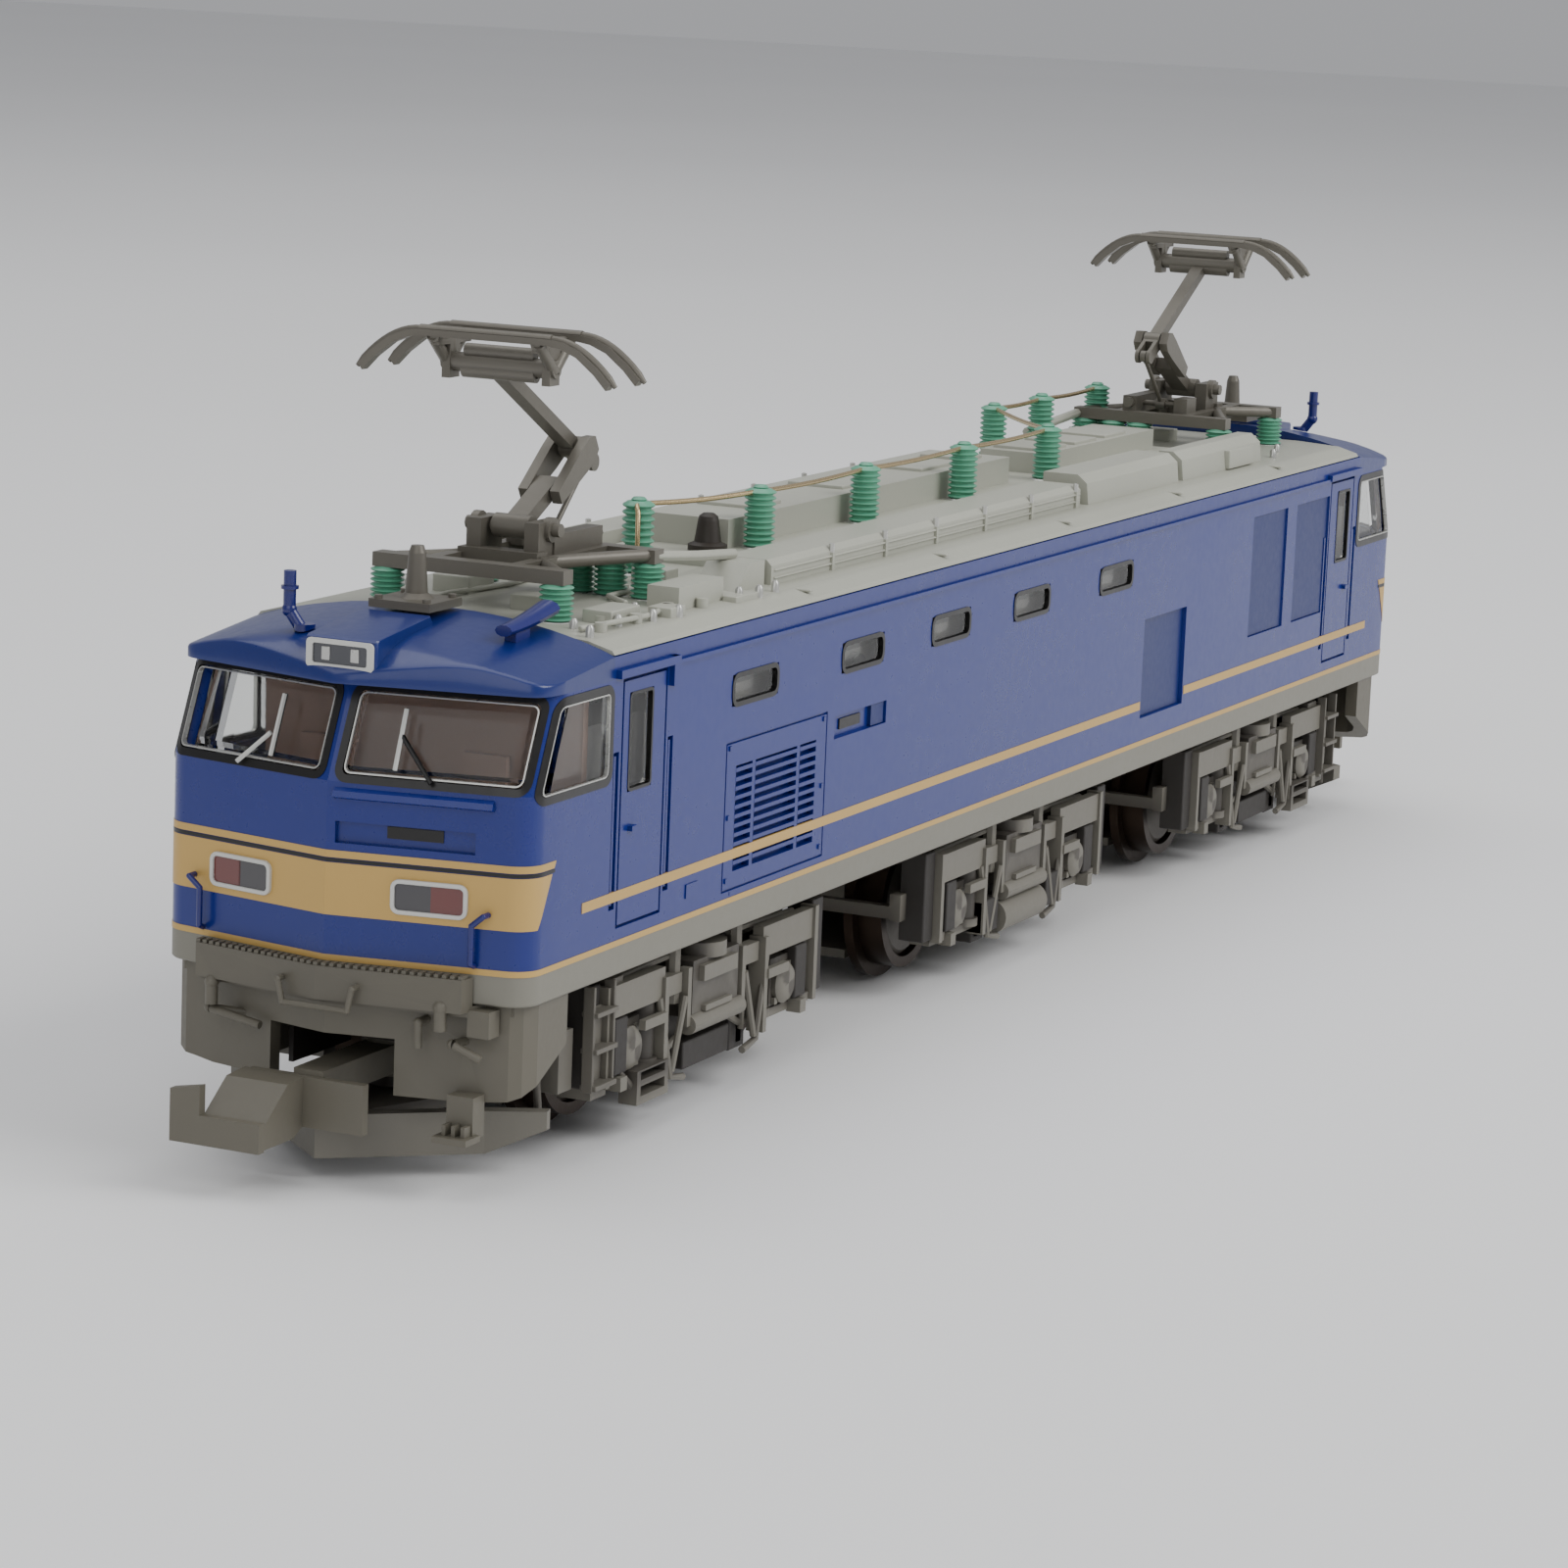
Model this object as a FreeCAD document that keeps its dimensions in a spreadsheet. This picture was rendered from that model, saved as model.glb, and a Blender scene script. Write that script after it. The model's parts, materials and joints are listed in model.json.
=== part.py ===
import FreeCAD, Part
import math
import os
import re
import Sketcher

# Millimetres. X runs along the locomotive, the front cab is at -X. Z is up and the wheel
# flanges stand on Z = 0. Anything that exists at both ends is made at the front and turned
# or mirrored to the rear.

DIMENSIONS = [
    ("half_width", 9.85, "half the body width"),
    ("corner_x", 62.0, "body corners"),
    ("nose_x", 63.8, "crease of the V shaped nose"),
    ("wall", 0.8, "body wall"),
    ("sill_z", 8.9, "bottom of the sill"),
    ("belt_z", 18.8, "line below the windscreens"),
    ("screen_top_z", 23.3, "underside of the eave"),
    ("eave_z", 24.4, "top of the side wall"),
    ("rake", 1.95, "set-back of the windscreen top"),
    ("roof_end_x", 54.3, "ends of the grey roof panel"),
    ("roof_z", 25.15, "top of the roof panel"),
    ("bogie_x", 40.3, "centre of an end bogie"),
    ("pivot_r", 2.2, "bogie pivot boss radius"),
    ("half_base", 8.8, "half the wheelbase of a bogie"),
    ("tread_r", 3.7, "wheel tread radius"),
    ("flange_r", 4.4, "wheel flange radius"),
    ("axle_r", 0.75, "axle radius"),
    ("shaft_r", 0.6, "motor shaft radius"),
    ("worm_core_r", 1.3, "worm core radius"),
    ("worm_pitch_r", 1.5, "worm pitch radius"),
    ("flywheel_r", 4.6, "flywheel radius"),
    ("flywheel_len", 6.0, "flywheel length"),
    ("motor_half", 9.5, "half the motor length"),
    ("motor_w", 5.6, "half the motor width"),
    ("plough_z", 0.87, "underside of the snow plough"),
    ("skirt_z", 4.1, "bottom of the skirt"),
    ("coupler_x", 57.0, "coupler pivot"),
    ("coupler_z", 4.6, "coupler shank centre"),
    ("insulator_r", 0.85, "insulator shed radius"),
    ("arm_hinge_x", 46.3, "pantograph lower hinge"),
    ("arm_hinge_z", 28.9, "height of that hinge"),
    ("knee_x", 40.4, "pantograph knee"),
    ("knee_z", 32.3, "height of the knee"),
    ("head_x", 48.2, "pantograph head pivot"),
    ("head_z", 36.6, "height of the head pivot"),
    ("link_foot_x", 42.4, "pantograph thin rod pivot"),
    ("link_foot_z", 28.1, "height of that pivot"),
    ("gear_module", 0.26, "module of the drive gears"),
]
D = {alias: value for alias, value, _ in DIMENSIONS}

MODULE = D["gear_module"]
WHEEL_TEETH = 20
IDLER_TEETH = 22
WHEEL_GEAR_R = MODULE * WHEEL_TEETH / 2
IDLER_R = MODULE * IDLER_TEETH / 2
TRAIN = WHEEL_GEAR_R * 2 + IDLER_R * 2
AXLE_Z = D["flange_r"]
GEAR_Z = AXLE_Z + math.sqrt(TRAIN ** 2 - D["half_base"] ** 2)
WORM_Z = GEAR_Z + WHEEL_GEAR_R + D["worm_pitch_r"]
WORM_PITCH = math.pi * MODULE

doc = FreeCAD.newDocument("electric_locomotive")
sheet = doc.addObject("Spreadsheet::Sheet", "dims")
for row, (alias, value, meaning) in enumerate(DIMENSIONS, 1):
    sheet.set("A%d" % row, meaning)
    sheet.set("B%d" % row, str(value))
    sheet.setAlias("B%d" % row, alias)
doc.recompute()

ALIAS = re.compile(r"\b(" + "|".join(sorted(D, key=len, reverse=True)) + r")\b")
NODES = []
PLANES = {
    "xy": FreeCAD.Rotation(),
    "xz": FreeCAD.Rotation(FreeCAD.Vector(1, 0, 0), 90),
    "yz": FreeCAD.Rotation(FreeCAD.Vector(1, 1, 1), 120),
}
AXES = {
    "x": FreeCAD.Rotation(FreeCAD.Vector(0, 1, 0), 90),
    "y": FreeCAD.Rotation(FreeCAD.Vector(1, 0, 0), -90),
    "z": FreeCAD.Rotation(),
}


def bind(thing, prop, value):
    """Give a property a plain number or an expression of the sheet's dimensions."""
    if isinstance(value, str):
        thing.setExpression(prop, ALIAS.sub(r"dims.\1", value))
        return
    head, _, tail = prop.rpartition(".")
    if head == "Placement.Base":
        place = thing.Placement
        setattr(place.Base, tail, value)
        thing.Placement = place
    else:
        setattr(thing, prop, value)


def number(value):
    """The value of a number or of an expression, for starting geometry."""
    if isinstance(value, str):
        parts = ALIAS.sub(lambda found: repr(D[found.group(1)]), value)
        total = FreeCAD.Units.Quantity(parts)
        return float(total.Value)
    return float(value)


def span(low, high):
    """Length between two ends, either of which may be an expression."""
    if isinstance(low, str) or isinstance(high, str):
        return "(%s) - (%s)" % (high, low)
    return high - low


def add(kind, name):
    return doc.addObject(kind, name)


def box(name, xs, ys, zs):
    solid = add("Part::Box", name)
    for prop, axis, (low, high) in zip(("Length", "Width", "Height"), "xyz", (xs, ys, zs)):
        bind(solid, "Placement.Base." + axis, low)
        bind(solid, prop, span(low, high))
    return solid


def rod(name, axis, across, radius, low, high):
    """A cylinder along an axis; across is its centre on the other two, in alphabetical order."""
    solid = add("Part::Cylinder", name)
    solid.Placement = FreeCAD.Placement(FreeCAD.Vector(), AXES[axis])
    others = [letter for letter in "xyz" if letter != axis]
    for letter, value in zip(others, across):
        bind(solid, "Placement.Base." + letter, value)
    bind(solid, "Placement.Base." + axis, low)
    bind(solid, "Radius", radius)
    bind(solid, "Height", span(low, high))
    return solid


def outline(name, plane, points, offset):
    """A closed sketch through the points, every corner dimensioned from the origin."""
    sketch = add("Sketcher::SketchObject", name)
    sketch.Placement = FreeCAD.Placement(FreeCAD.Vector(), PLANES[plane])
    normal = {"xy": "z", "xz": "y", "yz": "x"}[plane]
    bind(sketch, "Placement.Base." + normal, offset)
    flat = [FreeCAD.Vector(number(a), number(b), 0) for a, b in points]
    count = len(flat)
    for index in range(count):
        sketch.addGeometry(Part.LineSegment(flat[index], flat[(index + 1) % count]))
    for index in range(count):
        sketch.addConstraint(Sketcher.Constraint("Coincident", index, 2, (index + 1) % count, 1))
    for index, pair in enumerate(points):
        for kind, value in zip(("DistanceX", "DistanceY"), pair):
            place = sketch.addConstraint(Sketcher.Constraint(kind, index, 1, number(value)))
            if isinstance(value, str):
                bind(sketch, "Constraints[%d]" % place, value)
    return sketch


def prism(name, plane, points, low, high, along=None):
    """The outline drawn out of its plane from low to high, or along a slanting direction."""
    start = high if plane == "xz" else low
    sketch = outline(name + "_outline", plane, points, start)
    solid = add("Part::Extrusion", name)
    solid.Base = sketch
    solid.DirMode = "Normal"
    if along is not None:
        solid.DirMode = "Custom"
        solid.Dir = along
    bind(solid, "LengthFwd", span(low, high) if along is None else along.Length)
    solid.Solid = True
    return solid


def turned(name, profile, x, y):
    """A profile of radius and height revolved about an upright axis."""
    sketch = outline(name + "_profile", "xz", profile, 0)
    solid = add("Part::Revolution", name)
    solid.Source = sketch
    solid.Axis = FreeCAD.Vector(0, 0, 1)
    solid.Base = FreeCAD.Vector(0, 0, 0)
    solid.Angle = 360
    solid.Solid = True
    bind(solid, "Placement.Base.x", x)
    bind(solid, "Placement.Base.y", y)
    return solid


def fuse(name, parts):
    if len(parts) == 1:
        return parts[0]
    whole = add("Part::MultiFuse", name)
    whole.Shapes = parts
    whole.Refine = True
    return whole


def cut(name, base, tools):
    whole = add("Part::Cut", name)
    whole.Base = base
    whole.Tool = fuse(name + "_tools", tools)
    whole.Refine = True
    return whole


def common(name, parts):
    whole = add("Part::MultiCommon", name)
    whole.Shapes = parts
    whole.Refine = True
    return whole


def group(name, parts):
    whole = add("Part::Compound", name)
    whole.Links = parts
    return whole


def mirrored(name, part, normal):
    image = add("Part::Mirroring", name)
    image.Source = part
    image.Normal = FreeCAD.Vector(*normal)
    return image


def to_rear(name, part):
    return mirrored(name, part, (1, 0, 0))


def half_turn(name, part):
    """The part at the other end, turned half way round the upright axis."""
    return mirrored(name, mirrored(name + "_image", part, (1, 0, 0)), (0, 1, 0))


def both_sides(name, part):
    return [part, mirrored(name + "_left", part, (0, 1, 0))]


def node(name, part):
    """Name a finished piece."""
    part.Label = name
    NODES.append(part)
    return part


def pairs(*values):
    return list(zip(values[::2], values[1::2]))


# ---------------------------------------------------------------- body moulding

CORNER = [(0.0, 1.5), (0.12, 0.86), (0.52, 0.34), (1.35, 0.0)]


def plan(inset, reach="nose_x"):
    """Plan of the body: a V at each nose, eased corners, drawn inside the walls by inset."""
    nose = "%s - %g" % (reach, inset)
    corner = "corner_x - %g" % inset
    side = "half_width - %g" % inset
    front = []
    for back, aside in CORNER:
        front.append(("-(%s - %g)" % (corner, back), "%s - %g" % (side, aside)))
    left_front = [("-(%s)" % nose, "0")] + front
    points = list(left_front)
    points += [(pair[0][1:], pair[1]) for pair in reversed(front)]
    points += [(nose, "0")]
    points += [(pair[0][1:], "-(%s)" % pair[1]) for pair in front]
    points += [(pair[0], "-(%s)" % pair[1]) for pair in reversed(front)]
    return points


def raked(name, inset, low, high):
    """Upper body between two levels, both noses leaning inwards as they rise."""
    rise = number(high) - number(low)
    lean = D["rake"] / (D["screen_top_z"] - D["belt_z"]) * rise
    to_front = prism(name + "_to_front", "xy", plan(inset), low, high, FreeCAD.Vector(-lean, 0, rise))
    to_back = prism(name + "_to_back", "xy", plan(inset), low, high, FreeCAD.Vector(lean, 0, rise))
    return common(name, [to_front, to_back])


def cab_roof(name):
    """Blue vaulted roof over the front cab, low at the eave and full height behind."""
    cover = prism(name + "_plan", "xy", [
        ("-(nose_x - 0.4)", "0"), ("-(corner_x - 0.75)", "half_width - 0.9"),
        ("-(corner_x - 1.3)", "half_width - 0.15"), ("-(corner_x - 2.4)", "half_width"),
        ("-roof_end_x", "half_width"), ("-roof_end_x", "-half_width"),
        ("-(corner_x - 2.4)", "-half_width"), ("-(corner_x - 1.3)", "-(half_width - 0.15)"),
        ("-(corner_x - 0.75)", "-(half_width - 0.9)")], "screen_top_z", 27)
    side = prism(name + "_side", "xz", [
        (-66, 23.2), (-66, 23.75), (-63.4, 23.8), (-62.6, 24.3), (-61.4, 24.9), (-59.8, 25.45),
        (-58, 25.8), (-56.4, 25.95), (-54.3, 26.0), (-54.3, 23.2)], -11, 11)
    vault = [(-9.85, 21.0), (-9.85, 24.4), (-9.3, 24.62), (-8.2, 24.95), (-6.6, 25.32),
             (-4.6, 25.66), (-2.4, 25.9), (0, 26.0), (2.4, 25.9), (4.6, 25.66), (6.6, 25.32),
             (8.2, 24.95), (9.3, 24.62), (9.85, 24.4), (9.85, 21.0)]
    arch = prism(name + "_arch", "yz", vault, "-roof_end_x", 0, FreeCAD.Vector(-11, 0, -1.15))
    return common(name, [cover, side, arch])


WINDOW_X = (-38.75, -25.75, -14.15, -2.65, 10.35)
WINDOW_HALF = 2.65
WINDOW_Z = (20.3, 21.9)


def eased(name, plane, low_a, high_a, low_b, high_b, ease, start, end):
    """A rectangle with eased corners drawn from start to end."""
    points = [(low_a + ease, low_b), (high_a - ease, low_b), (high_a, low_b + ease),
              (high_a, high_b - ease), (high_a - ease, high_b), (low_a + ease, high_b),
              (low_a, high_b - ease), (low_a, low_b + ease)]
    return prism(name, plane, points, start, end)


def side_openings(name, gap, start, end):
    """The five round-cornered windows and two door windows of one side."""
    shapes = []
    for index, x in enumerate(WINDOW_X):
        shapes.append(eased("%s_%d" % (name, index), "xz", x - WINDOW_HALF + gap, x + WINDOW_HALF - gap,
                            WINDOW_Z[0] + gap, WINDOW_Z[1] - gap, 0.4, start, end))
    for index, x in enumerate((-51.35, 51.35)):
        shapes.append(eased("%s_door_%d" % (name, index), "xz", x - 1.25 + gap, x + 1.25 - gap,
                            17.7 + gap, 22.5 - gap, 0.25, start, end))
    return shapes


def screen_openings(name, gap):
    """Windscreens either side of the crease and the side windows of the front cab."""
    half = prism(name + "_screen", "yz", [
        (-8.7 + gap, 19.25 + gap), (-0.5 - gap, 19.25 + gap), (-0.5 - gap, 22.85 - gap),
        (-8.55 + gap, 22.85 - gap)], -66, -57.5)
    side = prism(name + "_side", "xz", [
        (-60.3 + gap, 18.65 + gap), (-54.5 - gap, 18.5 + gap), (-54.5 - gap, 22.85 - gap),
        (-58.75 + gap, 22.85 - gap)], -11, 11)
    return both_sides(name + "_screen", half) + [side]


def louvre_cuts():
    """Slots of the near-side grille, three columns of eleven."""
    cuts = []
    for column, (low, high) in enumerate(((-40.65, -38.75), (-38.4, -33.5), (-33.15, -31.2))):
        for line in range(11):
            z = 11.95 + line * 0.495
            cuts.append(box("slot_%d_%d" % (column, line), (low, high), ("-half_width - 1",
                    "-half_width + 0.3"),
                            (z, z + 0.3)))
    return cuts


def frame_cuts(name, xs, zs, width, depth):
    """A shallow engraved line round a panel on the near side."""
    outer = box(name + "_outer", xs, ("-half_width - 1", "-half_width + %g" % depth), zs)
    inner = box(name + "_inner", (xs[0] + width, xs[1] - width), (-11, 0), (zs[0] + width, zs[1] - width))
    return cut(name, outer, [inner])


def body_details():
    """Panels, doors and recesses engraved in one side."""
    near = ("-half_width - 1", "-half_width + 0.25")
    cuts = louvre_cuts()
    cuts.append(frame_cuts("grille_frame", (-41.85, -29.9), (10.9, 18.55), 0.15, 0.15))
    cuts.append(box("filler_recess", (-29.0, -22.45), near, (16.95, 18.15)))
    cuts.append(box("intake_panel", (15.45, 22.55), near, (12.74, 18.0)))
    for index, low in enumerate((33.9, 42.1)):
        for line in range(15):
            z = 14.75 + line * 0.51
            cuts.append(box("vent_%d_%d" % (index, line), (low, low + 6.4), near, (z, z + 0.3)))
    for index, x in enumerate((-51.0, 51.0)):
        cuts.append(frame_cuts("door_%d" % index, (x - 2.3, x + 2.3), (11.3, 23.2), 0.15, 0.15))
        for side in (-1, 1):
            rail = x + side * 2.75
            cuts.append(box("rail_%d_%d" % (index, side), (rail - 0.25, rail + 0.25), near, (12.2, 19.8)))
    return cuts


def front_cuts():
    """Lamp openings and the empty plate recess of the front."""
    lamps = box("lamp_hole", (-66, -60), (-7.3, -3.3), (12.85, 14.4))
    recess = prism("plate_recess", "xy", [(-64.4, -0.3), (-63.5, -0.3), (-62.26, -7.1), (-63.2, -7.1)],
            15.9, 16.9)
    slot = box("plate_slot", (-66, -60), (-5.55, -2.8), (16.25, 16.85))
    head = box("head_lamp_hole", (-66, -60.5), (-1.5, 1.5), (24.0, 25.1))
    return both_sides("lamp_hole", lamps) + [recess, slot, head]


def lamp_housing(name):
    """Sloped housing of the upper head lamp on the cab roof."""
    return prism(name, "xz", [(-62.87, 23.4), (-62.87, 25.3), (-62.6, 25.42), (-57.8, 25.95), (-57.8,
            23.4)],
                 -1.88, 1.88)


def make_body():
    lower = prism("body_lower", "xy", plan(0), "sill_z", "belt_z")
    upper = raked("body_upper", 0, "belt_z", "screen_top_z")
    middle = box("body_middle", ("-roof_end_x", "roof_end_x"), ("-half_width", "half_width"),
                 ("screen_top_z", "eave_z"))
    roof = fuse("cab_roof_front", [cab_roof("cab_vault"), lamp_housing("lamp_housing")])
    outside = fuse("body_outside", [lower, upper, middle, roof, half_turn("cab_roof_rear", roof)])
    hollow_low = prism("hollow_lower", "xy", plan(D["wall"]), "sill_z - 1", "belt_z")
    hollow_up = raked("hollow_upper", D["wall"], "belt_z", "screen_top_z")
    hollow_mid = box("hollow_middle", ("-roof_end_x + 0.8", "roof_end_x - 0.8"),
                     ("-half_width + wall", "half_width - wall"), ("screen_top_z - 1", "eave_z + 4"))
    ledge = box("roof_ledge", ("-roof_end_x + 0.1", "roof_end_x - 0.1"),
                ("-half_width + 0.45", "half_width - 0.45"), ("eave_z - 0.35", "eave_z + 4"))
    side = side_openings("opening", 0, -11, 11)
    front = screen_openings("cab_opening", 0) + front_cuts()
    front_tools = fuse("front_tools", front)
    near = fuse("near_details", body_details())
    tools = [hollow_low, hollow_up, hollow_mid, ledge, near, half_turn("far_details", near)]
    tools += side + [front_tools, half_turn("rear_tools", front_tools)]
    node("body_shell", cut("body", outside, tools))


def make_glazing():
    skin = cut("glazing_skin", raked("glazing_outer", D["wall"] + 0.06, 18.3, 23.15),
               [raked("glazing_inner", D["wall"] + 0.56, 18.2, 23.25)])
    cab_zone = box("cab_zone", (-66, -54.1), (-11, 11), (18.3, 23.15))
    skin_front = common("cab_skin", [skin, cab_zone])
    solid_body = raked("pane_body", 0.12, 18.3, 23.15)
    hollow = raked("pane_hollow", D["wall"] + 0.3, 18.2, 23.25)
    shell = cut("pane_shell", solid_body, [hollow])
    panes = common("cab_panes", [shell, fuse("pane_cutters", screen_openings("pane", 0.05))])
    front = fuse("cab_glazing", [skin_front, panes])
    node("cab_glazing_front", front)
    node("cab_glazing_rear", half_turn("cab_glazing_r", front))
    plates = [box("strip_mid", (-42.5, 14.5), (-9.0, -8.6), (19.6, 22.4))]
    plates += side_openings("strip_pane", 0.05, -9.75, -8.8)[:5]
    strip = fuse("side_strip", plates)
    doors = []
    for index, x in enumerate((-51.35, 51.35)):
        door = eased("door_pane_%d" % index, "xz", x - 1.2, x + 1.2, 17.75, 22.45, 0.25, -9.75, -8.8)
        plate = box("door_plate_%d" % index, (x - 1.75, x + 1.9), (-9.0, -8.6), (17.3, 22.9))
        doors.append(fuse("door_glass_%d" % index, [door, plate]))
    node("side_glazing", group("side_glass", both_sides("strip", strip) + both_sides("door_a", doors[0])
                               + both_sides("door_b", doors[1])))


def make_lamps():
    lens = box("lens_block", (-66, -60.9), (-7.22, -3.38), (12.93, 14.32))
    lens = common("lens", [lens, prism("lens_body", "xy", plan(0.1), 12, 15)])
    backing = box("lens_back", (-60.95, -59.8), (-7.22, -3.38), (12.93, 14.32))
    guide = fuse("lens_guide", [lens, backing])
    front = both_sides("lens", guide)
    rear = [half_turn("lens_rear_%d" % index, part) for index, part in enumerate(front)]
    block = box("head_lens", (-62.7, -61.0), (-1.45, 1.45), (24.05, 25.05))
    heads = [block, half_turn("head_lens_r", block)]
    node("lamp_lenses", group("lenses", front + rear + heads))


# ---------------------------------------------------------------- fittings on the body

def bar(name, start, end, radius):
    """A round bar between two points."""
    begin = FreeCAD.Vector(*start)
    finish = FreeCAD.Vector(*end)
    solid = add("Part::Cylinder", name)
    solid.Placement = FreeCAD.Placement(begin, FreeCAD.Rotation(FreeCAD.Vector(0, 0, 1), finish - begin))
    solid.Radius = radius
    solid.Height = (finish - begin).Length
    return solid


def wire(name, points, radius, swell=1.001):
    """A bent round wire with a ball at each bend."""
    parts = [bar("%s_%d" % (name, k), points[k], points[k + 1], radius) for k in range(len(points) - 1)]
    for index, place in enumerate(points[1:-1]):
        ball = add("Part::Sphere", "%s_bend_%d" % (name, index))
        ball.Radius = radius * swell
        ball.Placement.Base = FreeCAD.Vector(*place)
        parts.append(ball)
    return fuse(name, parts)


def make_handrails():
    rail = wire("corner_rail", [(-62.45, -7.9, 13.2), (-62.95, -7.9, 13.2), (-62.95, -7.3, 12.7),
                                (-62.95, -7.3, 10.9), (-62.6, -7.3, 10.75)], 0.14)
    front = both_sides("corner_rail", rail)
    rear = [to_rear("corner_rail_rear_%d" % k, part) for k, part in enumerate(front)]
    node("corner_handrails", group("handrails", front + rear))


def front_step():
    """Step beam across the nose, following its V a little in front of the sill."""
    return prism("front_step", "xy", [
        (-64.6, 0), (-63.45, -7.15), (-62.62, -7.3), (-63.9, 0), (-62.62, 7.3), (-63.45, 7.15)], 8.6, 10.2)


def skirt_hoses():
    """Air hoses, cocks, lifting bar and the hanging foot step of the front."""
    hoses = [wire("hose_left", [(-62.9, 6.2, 8.7), (-63.5, 6.2, 8.4), (-63.5, 6.2, 7.35)], 0.3, 1.15),
             wire("cock_left", [(-62.3, 5.0, 6.85), (-63.2, 6.5, 7.07), (-63.3, 3.64, 6.62)], 0.2, 1.15),
             wire("hose_right", [(-62.9, -6.1, 8.7), (-63.5, -6.1, 8.8), (-63.5, -6.1, 7.7)], 0.3, 1.15),
             wire("bar_right", [(-62.3, -4.85, 7.9), (-63.3, -4.85, 7.9), (-63.3, -4.85, 6.7)], 0.2, 1.15),
             wire("tap_right", [(-61.8, -6.7, 7.0), (-63.1, -6.54, 7.06), (-62.9, -7.96, 6.43)], 0.2, 1.15),
             box("light_box", (-62.9, -61.9), (-8.35, -7.2), (7.45, 8.72)),
             box("foot_tab", (-63.0, -61.9), (-7.7, -6.3), (2.6, 4.6)),
             box("foot_plate", (-64.0, -62.6), (-7.9, -6.1), (2.5, 2.8))]
    loop = wire("lifting_bar", [(-64.2, 1.86, 9.4), (-64.75, 1.86, 9.35), (-64.75, 1.6, 8.3),
                                (-64.75, -1.86, 8.3), (-64.75, -2.1, 9.35), (-64.2, -2.1, 9.4)], 0.14, 1.15)
    return hoses + [loop]


def make_skirts():
    outer = prism("skirt_outer", "xy", plan(0.25), "skirt_z", "sill_z - 0.05")
    lift = prism("skirt_profile", "xz", [
        (-66, 8.85), (-57.5, 8.85), (-57.5, 6.4), (-62.0, 4.1), (-66, 4.1)], -11, 11)
    shape = common("skirt_shape", [outer, lift])
    hollow = prism("skirt_hollow", "xy", plan(1.05), 3, 10)
    notch = box("skirt_notch", (-66, -56), (-3.35, 3.35), (2, 6.8))
    shell = cut("skirt_shell", shape, [hollow, notch])
    plate = prism("tread_plate", "xy", [
        (-64.0, 0), (-62.9, -7.2), (-62.0, -7.6), (-61.0, -7.6), (-61.0, 7.6), (-62.0, 7.6), (-62.9, 7.2)],
        8.35, 8.85)
    top = box("skirt_top", (-61.6, -58.6), (-8.9, 8.9), (8.35, 8.85))
    front = fuse("skirt", [shell, plate, top, front_step()] + skirt_hoses())
    pocket_hole = box("skirt_pocket_gap", (-62, -56), (-3.25, 3.25), (2, 8.2))
    front = cut("skirt_front", front, [pocket_hole])
    node("skirt_front", front)
    node("skirt_rear", half_turn("skirt_r", front))


def make_cab_fittings():
    """Whistle, horn hood and radio mast; each is trimmed to the curve of the cab roof."""
    roof = doc.getObject("cab_vault")
    pipe = wire("whistle_pipe", [(-60.5, 4.2, 27.85), (-60.5, 4.2, 26.0), (-60.42, 3.4, 24.9)], 0.3, 1.2)
    collar = rod("whistle_collar", "z", (-60.5, 4.2), 0.42, 26.98, 27.14)
    foot = rod("whistle_foot", "z", (-60.42, 3.4), 0.5, 24.9, 25.4)
    whistle = cut("whistle", fuse("whistle_parts", [pipe, collar, foot]), [roof])
    node("whistles", group("whistle_pair", [whistle, half_turn("whistle_r", whistle)]))
    horn = prism("horn_hood", "xz", [
        (-58.2, 24.9), (-58.2, 25.9), (-57.7, 26.6), (-53.5, 26.45), (-53.9, 25.9), (-55.9, 25.75),
                (-57.3, 24.9)],
        -6.6, -5.2)
    horn = cut("horn", horn, [roof])
    node("horn_covers", group("horn_pair", [horn, half_turn("horn_r", horn)]))
    mast = turned("antenna_mast", pairs(0, 26.4, 0.9, 26.4, 0.55, 26.7, 0.42, 28.6, 0.3, 28.95, 0, 28.95),
            -55.9, 0)
    foot = box("antenna_foot", (-57.55, -54.4), (-1.65, 1.65), (26.05, 26.45))
    bolts = [rod("antenna_bolt_%d" % k, "z", (-55.98 + a * 1.25, b * 1.3), 0.2, 26.4, 26.62)
             for k, (a, b) in enumerate(((-1, -1), (-1, 1), (1, -1), (1, 1)))]
    mast = fuse("antenna", [mast, foot] + bolts)
    node("radio_antennas", group("antenna_pair", [mast, half_turn("antenna_r", mast)]))


def make_cab_interior():
    floor = box("cab_floor", (-60.6, -54.9), (-8.2, 8.2), (14.6, 15.3))
    desk = prism("cab_desk", "xz", [(-61.1, 15.2), (-61.1, 17.6), (-60.2, 17.9), (-59.2, 17.4), (-59.2,
            15.2)], -7.6, 7.6)
    wall = box("cab_bulkhead", (-55.4, -54.9), (-8.2, 8.2), (15.2, 22.4))
    seats = []
    for index, y in enumerate((-4.4, 4.4)):
        seats.append(box("seat_base_%d" % index, (-58.0, -56.2), (y - 1.1, y + 1.1), (15.2, 16.9)))
        seats.append(box("seat_back_%d" % index, (-56.6, -56.2), (y - 1.1, y + 1.1), (16.8, 19.4)))
    front = fuse("interior", [floor, desk, wall] + seats)
    front = cut("interior_front", front, [box("interior_eased", (-62, -60.3), (-9, -6.9), (10, 20)),
                                         box("interior_eased_l", (-62, -60.3), (6.9, 9), (10, 20))])
    node("cab_interiors", group("interior_pair", [front, half_turn("interior_r", front)]))


# ---------------------------------------------------------------- roof

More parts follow.
